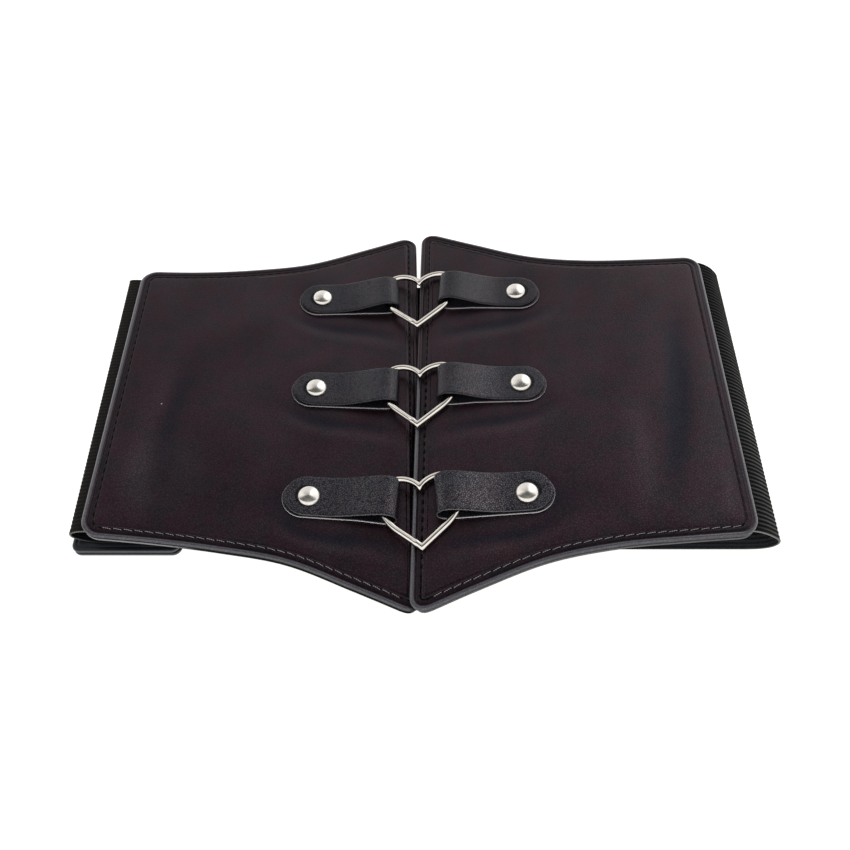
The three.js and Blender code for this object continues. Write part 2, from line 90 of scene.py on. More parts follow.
FASTENER = {"left": -148.5, "right": -119.5, "near": -76.1, "far": 70.9, "radius": 1.5, "thickness": 1.1}
FASTENER_LOW = 1.65

# Tabs, rivets and rings, repeated from the part
STRAP_WIDTH = 20
STRAP_THICKNESS = 1.2
END_CENTRE = -2.2
LOWER_LAYER = 0.85
UPPER_LAYER = 2.3
STRAP_PATH = [
    (END_CENTRE, LOWER_LAYER, 0), (10.0, LOWER_LAYER, 0), (22.0, LOWER_LAYER, 0), (35.0, LOWER_LAYER, 0.1),
    (38.2, 1.05, 1), (39.8, 2.1, 1.6), (40.4, 3.8, 1.8), (39.9, 5.6, 1.8), (38.0, 6.9, 1.8),
    (35.0, 7.3, 1.6), (31.0, 6.9, 1.2), (25.0, 5.5, 0.5), (18.0, 3.7, 0), (11.0, 2.5, 0),
    (5.5, UPPER_LAYER, 0), (END_CENTRE, UPPER_LAYER, 0),
]
RIVET_ALONG = 51
TAB_ROWS = [
    {"name": "top", "height": 61.9, "left": 3.4, "right": 4.8},
    {"name": "middle", "height": 1.1, "left": -1.5, "right": 1.3},
    {"name": "bottom", "height": -60.4, "left": -3.7, "right": -2.7},
]
CAP_BASE = 3.15
WIRE_RADIUS = 1.5
LEG_HEADING = 41
HEART_LEG = 13.8
HEART_ARCS = [(23.8, 49), (8.3, 90), (13.0, 48)]
RING_LOWER = 0.8
RINGS = [
    {"name": "top", "x": -0.4, "y": 42.2, "turn": -1.6},
    {"name": "middle", "x": 0, "y": -21.1, "turn": -2.2},
    {"name": "bottom", "x": 2.4, "y": -85.8, "turn": 2.4},
]
LEFT_REST = 19.5
RIGHT_REST = 13
WIRE_SEAT = 3.2


# Small helpers

def unit(vectors):
    return vectors / np.linalg.norm(vectors, axis=-1, keepdims=True)


def bell(distance, width):
    return np.exp(-(distance / width) ** 2)


def ramp(value, start, end):
    """0 at start and before it, 1 at end and past it, and even between; either one may be the larger."""
    return np.clip((value - start) / (end - start), 0, 1)


def flat_points(x, y):
    """Flat points from their two coordinates, either of which may be one number."""
    return np.stack(np.broadcast_arrays(x, y), 1)


def turned_left(directions):
    return flat_points(-directions[:, 1], directions[:, 0])


def lengths_along(points):
    steps = np.linalg.norm(np.diff(points, axis=0), axis=1)
    return np.concatenate([[0.0], np.cumsum(steps)])


def shares_along(points):
    lengths = lengths_along(points)
    return lengths / lengths[-1]


def sample(rows, lengths, at):
    """Rows of numbers at given lengths along their path."""
    return np.stack([np.interp(at, lengths, column) for column in rows.T], 1)


def smooth_table(values, share):
    """Values of an evenly spaced table on a smooth curve, at shares of its length."""
    rows = np.asarray(values, float)
    last = len(rows) - 1
    padded = np.concatenate([[2 * rows[0] - rows[1]], rows, [2 * rows[-1] - rows[-2]]])
    place = np.clip(share, 0, 1) * last
    row = np.minimum(np.floor(place).astype(int), last - 1)
    t = place - row
    before, start, end, after = (padded[row + k] for k in range(4))
    start_slope = (end - before) / 2
    end_slope = (after - start) / 2
    rise = end - start
    bend = 3 * rise - 2 * start_slope - end_slope
    twist = start_slope + end_slope - 2 * rise
    return start + t * (start_slope + t * (bend + t * twist))


def curve_through(rows, step):
    """A smooth centripetal curve through rows of numbers, sampled about every step along its first two."""
    points = np.asarray(rows, float)
    first = 2 * points[0] - points[1]
    last = 2 * points[-1] - points[-2]
    points = np.vstack([first, points, last])
    samples = []

    def between(rows, knots, low, high, t):
        return (rows[0] * (knots[high] - t) + rows[1] * (t - knots[low])) / (knots[high] - knots[low])

    for i in range(1, len(points) - 2):
        part = points[i - 1:i + 3]
        gaps = np.linalg.norm(np.diff(part[:, :2], axis=0), axis=1)
        knots = np.concatenate([[0.0], np.cumsum(gaps ** 0.5)])
        count = max(2, math.ceil(gaps[1] / step))
        for t in np.linspace(knots[1], knots[2], count, endpoint=False):
            a = [between(part[k:k + 2], knots, k, k + 1, t) for k in range(3)]
            b = [between(a[k:k + 2], knots, k, k + 2, t) for k in range(2)]
            samples.append(between(b, knots, 1, 2, t))
    samples.append(points[-2])
    return np.array(samples)


def distance_to_path(points, path):
    """Distance of each flat point to a path, and the share of the path's length where it is nearest."""
    lengths = lengths_along(path)
    best = np.full(len(points), np.inf)
    share = np.zeros(len(points))
    for i, step in enumerate(np.diff(path, axis=0)):
        t = np.clip((points - path[i]) @ step / (step @ step), 0, 1)
        apart = np.linalg.norm(points - path[i] - t[:, None] * step, axis=1)
        nearer = apart < best
        best[nearer] = apart[nearer]
        share[nearer] = (lengths[i] + t[nearer] * (lengths[i + 1] - lengths[i])) / lengths[-1]
    return best, share


# Meshes

def make_piece(name, points, faces, material, attributes=None):
    """A smooth-shaded mesh object from points in millimetres, with its faces turned outwards. A face that
    has a point twice is a triangle."""
    a, b, c, d = (points[faces[:, k]] for k in range(4))
    volume = np.sum(a * np.cross(b, c)) + np.sum(a * np.cross(c, d))
    if volume < 0:
        faces = faces[:, ::-1]
    mesh = bpy.data.meshes.new(name)
    rows = [list(dict.fromkeys(row)) for row in faces.tolist()]
    mesh.from_pydata((points * METRE).tolist(), [], rows)
    mesh.shade_smooth()
    for key, values in (attributes or {}).items():
        attribute = mesh.attributes.new(key, "FLOAT", "POINT")
        attribute.data.foreach_set("value", np.asarray(values, np.float32))
    mesh.materials.append(material)
    piece = bpy.data.objects.new(name, mesh)
    bpy.context.scene.collection.objects.link(piece)
    return piece


def settle(piece, slot, *nodes):
    """Puts a piece on the belt's one body, in place of the CAD nodes it stands for."""
    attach(piece, "root")
    if nodes:
        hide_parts(*nodes)


def make_sheet(name, body, material, slot, node, size, held, rests_on, **attributes):
    """A piece of leather or cloth from its slab; the flat size that it was cut to is not used."""
    piece = make_piece(name, body.points, body.faces, material, attributes)
    settle(piece, slot, node)


def tube_faces(sections, sides, closed=False):
    """Quads between sections of sides points each, and on from the last one to the first if closed."""
    i, j = np.meshgrid(np.arange(sections if closed else sections - 1), np.arange(sides), indexing="ij")
    here = i * sides
    following = (i + 1) % sections * sides
    after = (j + 1) % sides
    return np.stack([here + j, here + after, following + after, following + j], -1).reshape(-1, 4)


def inward_normals(outline):
    """Mitred normals of a closed flat outline, and its area."""
    before = unit(outline - np.roll(outline, 1, axis=0))
    after = unit(np.roll(outline, -1, axis=0) - outline)
    tangent = unit(before + after)
    x, y = outline.T
    area = np.sum(x * np.roll(y, -1) - y * np.roll(x, -1)) / 2
    mitre = np.sum(tangent * after, axis=1, keepdims=True)
    return turned_left(tangent) * np.sign(area) / mitre, abs(area)


def flat_grid(ring, rows, columns):
    """Points inside a closed ring with rows steps up and columns steps along, as a grid that meets it."""
    left = ring[:rows + 1]
    top = ring[rows:rows + columns + 1]
    right = ring[rows + columns:2 * rows + columns + 1][::-1]
    bottom = np.vstack([ring[2 * rows + columns:], ring[:1]])[::-1]
    u = ((shares_along(top) + shares_along(bottom)) / 2)[:, None, None]
    v = ((shares_along(left) + shares_along(right)) / 2)[None, :, None]
    across = (1 - v) * bottom[:, None] + v * top[:, None]
    along = (1 - u) * left[None] + u * right[None]
    corners = (1 - u) * (1 - v) * left[0] + u * (1 - v) * right[0]
    corners = corners + (1 - u) * v * left[-1] + u * v * right[-1]
    return across + along - corners


def distance_inside(points, outline, least):
    """Distance of points to a closed outline, at least a given one, worked out a batch at a time."""
    batch = 2000
    result = np.zeros(len(points))
    for start in range(0, len(points), batch):
        part = points[start:start + batch]
        result[start:start + batch] = np.linalg.norm(part[:, None] - outline[None], axis=2).min(axis=1)
    return np.maximum(result, least)


def slab(sides, rings, place):
    """A closed body over a flat outline. sides are its four sides in order, rings the distance in from the
    outline and the level of each ring round its rim, from the upper side to the lower, and place puts flat
    points at levels."""
    rows = len(sides[0]) - 1
    columns = len(sides[1]) - 1
    outline = np.vstack([side[:-1] for side in sides])
    count = len(outline)
    normals, area = inward_normals(outline)
    parts = [(outline + normals * inset, level, inset, k < len(rings) // 2)
             for k, (inset, level) in enumerate(rings)]
    faces = [tube_faces(len(rings), count)]
    base = count * len(rings)
    for k in (0, len(rings) - 1):
        inset, level = rings[k]
        inside = flat_grid(parts[k][0], rows, columns)[1:-1, 1:-1].reshape(-1, 2)
        parts.append((inside, level, distance_inside(inside, outline, inset), k == 0))
        index = np.zeros((columns + 1, rows + 1), int)
        index[0, :] = np.arange(rows + 1)
        index[:, rows] = rows + np.arange(columns + 1)
        index[columns, ::-1] = rows + columns + np.arange(rows + 1)
        index[::-1, 0] = (2 * rows + columns + np.arange(columns + 1)) % count
        index += k * count
        index[1:-1, 1:-1] = base + np.arange(len(inside)).reshape(columns - 1, rows - 1)
        base += len(inside)
        quads = np.stack([index[:-1, :-1], index[1:, :-1], index[1:, 1:], index[:-1, 1:]], -1).reshape(-1, 4)
        faces.append(quads if k == 0 else quads[:, ::-1])
    flat = np.vstack([part[0] for part in parts])
    level, inset, on_top = (
        np.concatenate([np.full(len(part[0]), part[k]) for part in parts]) for k in (1, 2, 3))
    points = place(flat, level, inset, on_top)
    return SimpleNamespace(points=points, faces=np.vstack(faces), area=area, along=flat[:, 0], up=flat[:, 1],
                           level=level, inset=inset, on_top=on_top)


def rim(top, bottom, upper, lower):
    """A slab's rings, from rows of distance in and drop from its top, then of distance in and rise from
    its bottom."""
    return [(inset, top - drop) for inset, drop in upper] + [(inset, bottom + rise) for inset, rise in lower]


# Node materials

class Nodes:
    """Short calls that add and link the nodes of one tree. Their inputs are numbers, colours or sockets."""

    def __init__(self, tree):
        self.tree = tree

    def fill(self, node, **inputs):
        """Sets or links a node's inputs, each named with _ for a space or numbered after a _."""
        for key, value in inputs.items():
            socket = node.inputs[int(key[1:]) if key[0] == "_" else key.replace("_", " ")]
            if isinstance(value, bpy.types.NodeSocket):
                self.tree.links.new(value, socket)
            elif socket.type == "RGBA":
                socket.default_value = (*value, 1)
            else:
                socket.default_value = value

    def add(self, kind, settings=None, **inputs):
        node = self.tree.nodes.new("ShaderNode" + kind)
        for key, value in (settings or {}).items():
            setattr(node, key, value)
        self.fill(node, **inputs)
        return node

    def place(self):
        """Object coordinates in millimetres."""
        where = self.add("TexCoord").outputs["Object"]
        return self.add("VectorMath", {"operation": "SCALE"}, _0=where, Scale=1 / METRE).outputs["Vector"]

    def part(self, vector, axis):
        return self.add("SeparateXYZ", Vector=vector).outputs[axis]

    def attribute(self, name):
        return self.add("Attribute", {"attribute_name": name}).outputs["Fac"]

    def noise(self, vector, size, detail=2.0, rough=0.5, output="Fac"):
        made = self.add("TexNoise", Vector=vector, Scale=1 / size, Detail=detail, Roughness=rough)
        return made.outputs[output]

    def cells(self, vector, size):
        """How far a point is inside its cell of a pebbled pattern, 0 at the creases."""
        made = self.add("TexVoronoi", {"feature": "DISTANCE_TO_EDGE"}, Vector=vector, Scale=1 / size)
        return made.outputs["Distance"]

    def spot(self, where, x, y, size):
        """A mask that is 1 within a small spot, seen from above."""
        flat = self.add("VectorMath", {"operation": "MULTIPLY"}, _0=where, _1=(1, 1, 0)).outputs["Vector"]
        apart = self.add("VectorMath", {"operation": "DISTANCE"}, _0=flat, _1=(x, y, 0)).outputs["Value"]
        return self.ramp(apart, size, size * 0.6)

    def ramp(self, value, low, high, to_low=0.0, to_high=1.0, kind="LINEAR"):
        made = self.add("MapRange", {"interpolation_type": kind}, Value=value, From_Min=low, From_Max=high,
                        To_Min=to_low, To_Max=to_high)
        return made.outputs["Result"]

    def soft_ramp(self, value, low, high, to_low=0.0, to_high=1.0):
        return self.ramp(value, low, high, to_low, to_high, "SMOOTHSTEP")

    def maths(self, operation, a, b=0.0):
        return self.add("Math", {"operation": operation}, _0=a, _1=b).outputs["Value"]

    def plus(self, a, b):
        return self.maths("ADD", a, b)

    def minus(self, a, b):
        return self.maths("SUBTRACT", a, b)

    def times(self, *values):
        """The product of two or more values."""
        product = values[0]
        for value in values[1:]:
            product = self.maths("MULTIPLY", product, value)
        return product

    def mix(self, share, first, second):
        return self.add("Mix", {"data_type": "RGBA"}, _0=share, _6=first, _7=second).outputs[2]

    def bump(self, height, depth, strength, **normal):
        made = self.add("Bump", Height=height, Distance=depth * METRE, Strength=strength, **normal)
        return made.outputs["Normal"]


def new_material(name, **constants):
    material = bpy.data.materials.new(name)
    material.use_nodes = True
    nodes = Nodes(material.node_tree)
    shader = material.node_tree.nodes["Principled BSDF"]
    nodes.fill(shader, **constants)
    return material, nodes, shader


# bluish painted shade and reflection, laid into the face leather's hollows
BLUISH_PAINTED_SHADE = (0.0045, 0.0060, 0.0115)
SCUFF = (0.30, 0.29, 0.28)
NEARLY_BLACK = (0.0004, 0.0004, 0.0005)
COOL_SHINE = (0.82, 0.86, 0.94)
EDGE_SHINE = (0.88, 0.93, 1.0)
BLUE_SHINE = (0.74, 0.84, 1.0)


def leather_colour(nodes, skin, look):
    """Soft clouds of two tones and a cooler one, with painted bluish shade and reflection in hollows, a pale
    edge that is partly a painted highlight, and painted near-black shade in creases and recesses.
    """
    cool = (0.45 * look.dark[0], 0.95 * look.dark[1], 0.85 * look.dark[2])
    body = nodes.mix(nodes.ramp(skin.clouds, 0.3, 0.7), look.dark, look.light)
    body = nodes.mix(nodes.ramp(skin.tints, 0.38, 0.68, 0.0, 0.6), body, cool)
    # painted bluish shade and reflection in the hollows
    body = nodes.mix(nodes.ramp(skin.hollow, 0.2, 1.0, 0.0, 0.55), body, BLUISH_PAINTED_SHADE)
    body = nodes.mix(skin.edged, body, look.edge_colour)
    for mark in look.marks:
        body = nodes.mix(nodes.spot(skin.where, *mark), body, SCUFF)
    # painted shade: near black in creases, recesses, the bead's shadowed underside and round the rivets
    return nodes.mix(nodes.ramp(skin.pressed, 0.9, 2.0, 0.0, 0.9), body, NEARLY_BLACK)


def leather_polish(nodes, skin, look):
    """Strength of the shine: duller in hollows and in the creases and recesses where shade is painted, and
    fading from the near edge to the far one.
    """
    dulled = nodes.maths("POWER", nodes.ramp(skin.pressed, 0.0, 2.0), 1.8)
    # the grain is open towards the near edge and closes up towards the far one
    opened = nodes.ramp(skin.up, -75.0, 30.0, 1.0, 0.35)
    creased = nodes.times(nodes.minus(skin.pebbles, 0.5), look.contrast, opened)
    return nodes.times(
        nodes.soft_ramp(skin.edge, 0.3, 1.0, *look.gloss),
        nodes.ramp(dulled, 0.0, 1.0, 1.0, 0.05),
        nodes.ramp(skin.clouds, 0.3, 0.7, 0.88, 1.12),
        nodes.ramp(skin.hollow, -1.0, 1.0, 1.35, 0.62),
        nodes.ramp(skin.up, -62.0, 62.0, *look.fade),
        nodes.plus(creased, 1.0),
    )


def leather_shine(nodes, skin, look):
    """Colour of the shine: a tint with cooler clouds, pale blue on the edge and in painted shade, and bluest
    in hollows as a painted bluish reflection.
    """
    on_edge = nodes.maths("MAXIMUM", skin.edged, nodes.ramp(skin.pressed, 0.3, 0.9, 0.0, 0.8))
    shine = nodes.mix(nodes.ramp(skin.tints, 0.42, 0.66, 0.0, 0.75), look.tint, COOL_SHINE)
    shine = nodes.mix(on_edge, shine, EDGE_SHINE)
    return nodes.mix(nodes.ramp(skin.hollow, 0.2, 1.0, 0.0, 0.85), shine, BLUE_SHINE)


PLAIN_LEATHER = {"coat": 0.0, "tint": (1, 1, 1), "marks": (), "fade": (1.0, 1.0), "haze": None}


def leather_material(name, **look):
    """Faux leather: pebbled grain with duller creases, soft clouds of colour and gloss, and a paler edge that
    is partly a painted highlight.
    """
    look = SimpleNamespace(**{**PLAIN_LEATHER, **look})
    material, nodes, shader = new_material(name)
    where = nodes.place()
    wobble = nodes.noise(where, 3.0, 1.0, output="Color")
    warped = nodes.add("VectorMath", {"operation": "ADD"}, _0=where, _1=wobble).outputs["Vector"]
    edge = nodes.attribute("edge")
    skin = SimpleNamespace(
        where=where,
        up=nodes.part(where, "Y"),
        clouds=nodes.noise(where, 34.0, 3.0),
        tints=nodes.noise(where, 10.0),
        pebbles=nodes.soft_ramp(nodes.cells(warped, look.pebble), 0.0, 0.32),
        edge=edge,
        edged=nodes.soft_ramp(edge, look.edge_start, 1.0),
        pressed=nodes.attribute("pressed"),
        hollow=nodes.attribute("hollow"),
    )
    polish = leather_polish(nodes, skin, look)
    shine = leather_shine(nodes, skin, look)
    if look.haze:
        hazy = nodes.spot(where, *look.haze)
        shine = nodes.mix(nodes.times(hazy, 0.7), shine, COOL_SHINE)
        polish = nodes.times(polish, nodes.plus(nodes.times(hazy, 0.22), 1.0))
    if look.coat:
        nodes.fill(shader, Coat_Weight=nodes.times(skin.edged, look.coat), Coat_Roughness=0.18)
    normal = nodes.bump(skin.pebbles, look.depth, 0.6)
    lumps = nodes.noise(where, look.pebble * 2.2)
    nodes.fill(shader, Base_Color=leather_colour(nodes, skin, look), Specular_IOR_Level=polish,
               Specular_Tint=shine, Roughness=nodes.ramp(skin.clouds, 0.3, 0.7, *look.rough),
               Normal=nodes.bump(lumps, look.depth * 0.8, 0.5, Normal=normal))
    return material


# painted highlight along the band's woven edge, dotted by its threads
SELVAGE_HIGHLIGHT = (0.35, 0.34, 0.34)
THREAD_PITCH = 0.8


def woven_material(name, dark, light, inside, rib_pitch):
    """Ribbed woven elastic: fine cross threads on each rib, matt and slightly fuzzy, with a painted highlight
    along its woven edge and a plainer inner side whose colour is painted for its light and shade. It has
    painted shade where it lies under and beside the panel, and is darker towards the far edge."""
    material, nodes, shader = new_material(name, Specular_IOR_Level=0.04)
    where = nodes.place()
    fuzz = nodes.noise(where, 0.4, 3.0)
    threads = nodes.maths("SINE", nodes.times(nodes.attribute("along"), 2 * math.pi / THREAD_PITCH))
    ribs = nodes.maths("COSINE", nodes.times(nodes.attribute("across"), 2 * math.pi / rib_pitch))
    lit = nodes.times(
        nodes.ramp(ribs, 0.05, 0.95),
        nodes.ramp(threads, -1.0, 1.0, 0.7, 1.0),
        nodes.ramp(fuzz, 0.25, 0.75, 0.5, 1.3),
        nodes.ramp(nodes.noise(where, 9.0), 0.3, 0.7, 0.75, 1.15),
        nodes.ramp(nodes.part(where, "Y"), -40.0, 60.0, 1.0, 0.42),
        # painted shade under and just beside the panel's outer edge
        nodes.ramp(nodes.attribute("open"), 0.0, 1.0, 0.08, 1.15),
    )
    # the inner side's colour is painted for its light and shade
    shaded = nodes.mix(nodes.ramp(fuzz, 0.3, 0.7), [c * 0.7 for c in inside], inside)
    body = nodes.mix(nodes.attribute("inner"), nodes.mix(lit, dark, light), shaded)
    selvage = nodes.ramp(nodes.attribute("edge"), 0.2, 1.0)
    dotted = nodes.times(selvage, nodes.ramp(threads, -1.0, 0.4, 0.35, 1.0))
    nodes.fill(shader, Base_Color=nodes.mix(dotted, body, SELVAGE_HIGHLIGHT),
               Roughness=nodes.ramp(fuzz, 0.3, 0.7, 0.5, 0.7),
               Normal=nodes.bump(fuzz, 0.12, 0.6, Normal=nodes.bump(threads, 0.1, 0.6)))
    return material


def felt_material(name, dark, light, skin):
    """Stiff backing board: short pale fibres on its cut edge, a darker skin on its broad sides."""
    material, nodes, shader = new_material(name, Specular_IOR_Level=0.2)
    where = nodes.place()
    fibres = nodes.noise(where, 0.3, 4.0, 0.7)
    blotches = nodes.noise(where, 9.0)
    share = nodes.times(nodes.ramp(fibres, 0.3, 0.7, 0.2, 1.0), nodes.ramp(blotches, 0.3, 0.7, 0.7, 1.0))
    nodes.fill(shader, Base_Color=nodes.mix(nodes.attribute("edge"), skin, nodes.mix(share, dark, light)),
               Roughness=nodes.ramp(fibres, 0.3, 0.7, 0.75, 0.95), Normal=nodes.bump(fibres, 0.12, 0.6))
    return material


def metal_material(name, tint, rough, wear, rim_tint):
    """Plated metal with hair scratches and slightly dulled patches."""
    material, nodes, shader = new_material(
        name, Metallic=1.0, Specular_IOR_Level=0.5, Specular_Tint=rim_tint)
    where = nodes.place()
    patches = nodes.noise(where, 3.5, 3.0)
    darker = [c * 0.86 for c in tint]
    nodes.fill(shader, Base_Color=nodes.mix(nodes.ramp(patches, 0.35, 0.7), tint, darker),
               Roughness=nodes.ramp(patches, 0.3, 0.7, *rough),
               Normal=nodes.bump(nodes.noise(where, 0.25), wear, 0.3))
    return material


def thread_material(name, dark, pale, painted_shade_colour):
    """Twisted thread: its own dark colour striped along the twist with a painted pale highlight, and painted
    near-black shade where it lies deeper in its groove.
    """
    material, nodes, shader = new_material(name, Sheen_Weight=0.05)
    shaded = nodes.attribute("shaded")
    lay = nodes.maths("SINE", nodes.times(nodes.attribute("twist"), 2 * math.pi))
    nodes.fill(shader, Base_Color=nodes.mix(shaded, nodes.mix(nodes.ramp(lay, -1, 1), dark, pale), painted_shade_colour),
               Specular_IOR_Level=nodes.ramp(shaded, 0.0, 1.0, 0.6, 0.05),
               Roughness=nodes.ramp(lay, -1, 1, 0.25, 0.45), Normal=nodes.bump(lay, 0.06, 0.5))
    return material


RIB_PITCHES = {"band_left": 2.0, "band_right": 2.2}

# edge_colour here is the pale of the face's rolled bead, a painted highlight
FACE_LEATHER = leather_material(
    "face_leather", dark=(0.0085, 0.0032, 0.0056), light=(0.0125, 0.0046, 0.0080), pebble=1.15, depth=0.035,
    contrast=0.7, rough=(0.28, 0.36), edge_colour=(0.033, 0.032, 0.040), edge_start=0.2, gloss=(0.34, 0.9),
    coat=0.6, tint=(1.0, 0.76, 0.88), marks=((-124.0, -9.8, 0.42), (-148.0, 3.7, 0.5)),
    haze=(-117.0, -50.0, 24.0))
TAB_LEATHER = leather_material(
    "tab_leather", dark=(0.0065, 0.0056, 0.0090), light=(0.0110, 0.0096, 0.0145), pebble=0.85, depth=0.07,
    contrast=1.75, rough=(0.26, 0.32), edge_colour=(0.80, 0.78, 0.79), edge_start=0.1, gloss=(0.56, 0.4),
    tint=(1.0, 0.91, 0.98), fade=(1.2, 0.74))
# edge_colour here is the pale of the placket's rounded rim, a painted highlight
PLACKET_LEATHER = leather_material(
    "placket_leather", dark=(0.0050, 0.0065, 0.0100), light=(0.0085, 0.0100, 0.0145), pebble=0.9, depth=0.03,
    contrast=0.2, rough=(0.32, 0.42), edge_colour=(0.040, 0.040, 0.048), edge_start=0.4, gloss=(0.6, 1.0))
BACKING_FELT = felt_material(
    "backing_felt", dark=(0.16, 0.155, 0.17), light=(0.50, 0.48, 0.52), skin=(0.010, 0.0095, 0.0105))
HOOK_TAPE = felt_material(
    "hook_tape", dark=(0.006, 0.006, 0.007), light=(0.02, 0.02, 0.022), skin=(0.012, 0.012, 0.013))
# the rings' dark rim tint paints the dark outline of shade and dark reflections along the wire's sides
NICKEL = metal_material(
    "nickel", (0.93, 0.89, 0.82), rough=(0.06, 0.11), wear=0.005, rim_tint=(0.12, 0.11, 0.10))
SATIN_NICKEL = metal_material(
    "satin_nickel", (0.92, 0.89, 0.83), rough=(0.20, 0.28), wear=0.01, rim_tint=(1, 1, 1))
THREAD = thread_material(
    # the pale colour is a painted highlight on the thread, the last one its painted shade
    "thread", dark=(0.030, 0.029, 0.034), pale=(0.30, 0.285, 0.32), painted_shade_colour=(0.0008, 0.0008, 0.0009))
# each band's inside colour is painted: lighter on the right band to show light in its shaded loop, near black
# on the left band as the shade in its loop
ELASTICS = {
    "band_left": woven_material(
        "woven_elastic_left", dark=(0.0115, 0.0105, 0.0095), light=(0.030, 0.0285, 0.027),
        inside=(0.008, 0.008, 0.009), rib_pitch=RIB_PITCHES["band_left"]),
    "band_right": woven_material(
        "woven_elastic_right", dark=(0.0015, 0.0015, 0.0017), light=(0.108, 0.107, 0.108),
        inside=(0.040, 0.045, 0.049), rib_pitch=RIB_PITCHES["band_right"]),
}


# Front panels

def panel_top(panel, along, up):
    place = along / panel["length"]
    lift = panel["nearLift"] + (up + LIFT_REACH) / (2 * LIFT_REACH) * (panel["farLift"] - panel["nearLift"])
    share = np.maximum(0, (place - LIFT_START) / (1 - LIFT_START))
    return smooth_table(PANEL_RISES[panel["name"]], place) + lift * share * share


def panel_point(panel, along, up, over):
    """A point on or above a panel: along it from the inner edge, up it, and over its top surface."""
    turn = math.radians(panel["turn"])
    x = panel["side"] * along
    return np.stack([
        panel["x"] + x * math.cos(turn) - up * math.sin(turn),
        panel["y"] + x * math.sin(turn) + up * math.cos(turn),
        panel_top(panel, along, up) + over,
    ], axis=-1)


def panel_size(panel):
    edges = PANEL_EDGES[panel["name"]]
    return panel["length"], edges["near"][0] + edges["far"][0]


def panel_outline(panel, rows, columns, corner_steps, inset):
    """The outline's four sides, from the seam's near end round by the far edge, split in mid corner."""
    edges = PANEL_EDGES[panel["name"]]
    length = panel["length"]
    quarter = np.linspace(0, math.pi / 2, 2 * corner_steps + 1)

    def straight(edge, along):
        return smooth_table(edges[edge], along / length) - inset

    def corner(edge, radius, inner):
        small = radius - inset
        along = radius - small * np.cos(quarter) if inner else length - radius + small * np.cos(quarter)
        return flat_points(along, straight(edge, along) - small * (1 - np.sin(quarter)))

    far_inner = corner("far", INNER_CORNER_RADIUS, True)
    far_outer = corner("far", OUTER_CORNER_RADIUS, False)[::-1]
    near_inner = corner("near", INNER_CORNER_RADIUS, True) * (1, -1)
    near_outer = (corner("near", OUTER_CORNER_RADIUS, False) * (1, -1))[::-1]
    between = np.linspace(INNER_CORNER_RADIUS, length - OUTER_CORNER_RADIUS, columns + 1)[1:-1]
    far = flat_points(between, straight("far", between))
    near = flat_points(between, -straight("near", between))
    inner = np.linspace(near_inner[0], far_inner[0], rows + 1)[1:-1]
    outer = np.linspace(far_outer[-1], near_outer[-1], rows + 1)[1:-1]
    half = corner_steps
    return [
        np.vstack([near_inner[half::-1], inner, far_inner[:half + 1]]),
        np.vstack([far_inner[half:], far, far_outer[:half + 1]]),
        np.vstack([far_outer[half:], outer, near_outer[:half - 1:-1]]),
        np.vstack([near_outer[half::-1], near[::-1], near_inner[:half - 1:-1]]),
    ]


# Rows, columns and corner steps of the panels' meshes
FACE_GRID = (140, 112, 5)
BACKING_GRID = (60, 48, 4)
# Distances in from the face's outline: the bead's width, the crease beside it, the flange's end, and the
# stitch groove's crease and thread
BEAD_WIDTH = 2.2
BEAD_CREASE = 2.45
FLANGE_END = 5.2
STITCH_CREASE = 4.7
STITCH_INSET = 4.62
# The face's rim: distance in from the outline and level, from the padded field over the turned edge
# and underneath
FACE_RIM_INSETS = [
    7.2, 6.4, 5.9, 5.5, 5.25, 5.05, 4.85, 4.65, 4.45, 4.25, 3.9, 3.4, 2.95, 2.7, 2.5, 2.3, 2.1, 1.9,
    1.65, 1.25,
]
FACE_EDGE = [
    (0.95, -0.05), (0.65, -0.16), (0.38, -0.32), (0.17, -0.52), (0.04, -0.76), (0, -0.98),
    (0.04, -1.18), (0.13, -1.34), (0.20, -1.48), (0.22, -2.24), (0.32, -2.42), (0.8, -2.5), (7.2, -2.5),
]
# Level of the leather by the distance in from the edge: bead, flange, stitch groove and padded field
FACE_PROFILE = [
    (0, -0.1), (1.0, 0.04), (1.4, 0.0), (1.7, -0.1), (1.9, -0.22), (2.1, -0.40), (2.3, -0.64), (2.5, -0.76),
    (2.7, -0.70), (2.95, -0.60), (3.9, -0.5),
    (4.25, -0.52), (4.5, -0.66), (4.7, -0.74), (4.9, -0.62), (5.05, -0.36), (5.25, -0.1), (5.5, 0.02),
]
# The padded field goes on rising to this level, over about this distance
FIELD_LEVEL = 0.29
FIELD_ROUND = 2.6


def face_level(inset):
    distances, levels = np.array(FACE_PROFILE).T
    field = FIELD_LEVEL - (FIELD_LEVEL - levels[-1]) * np.exp((distances[-1] - inset) / FIELD_ROUND)
    return np.where(inset > distances[-1], field, np.interp(inset, distances, levels))


# Each rivet presses a round dent into the padding
DENT_DEPTH = 0.3
DENT_RADIUS = 10
# Soft waves of the leather below each tab: path from its round end to the seam, as distances along the
# panel and below the rivet, with height and width
WAVES = [
    {"path": [(66, -10), (57, -16.5), (44, -20), (28, -21.5), (10, -25)], "height": -0.30, "width": 3.4},
    {"path": [(70, -14), (58, -22), (44, -26), (28, -28), (8, -33)], "height": 0.24, "width": 3.6},
]
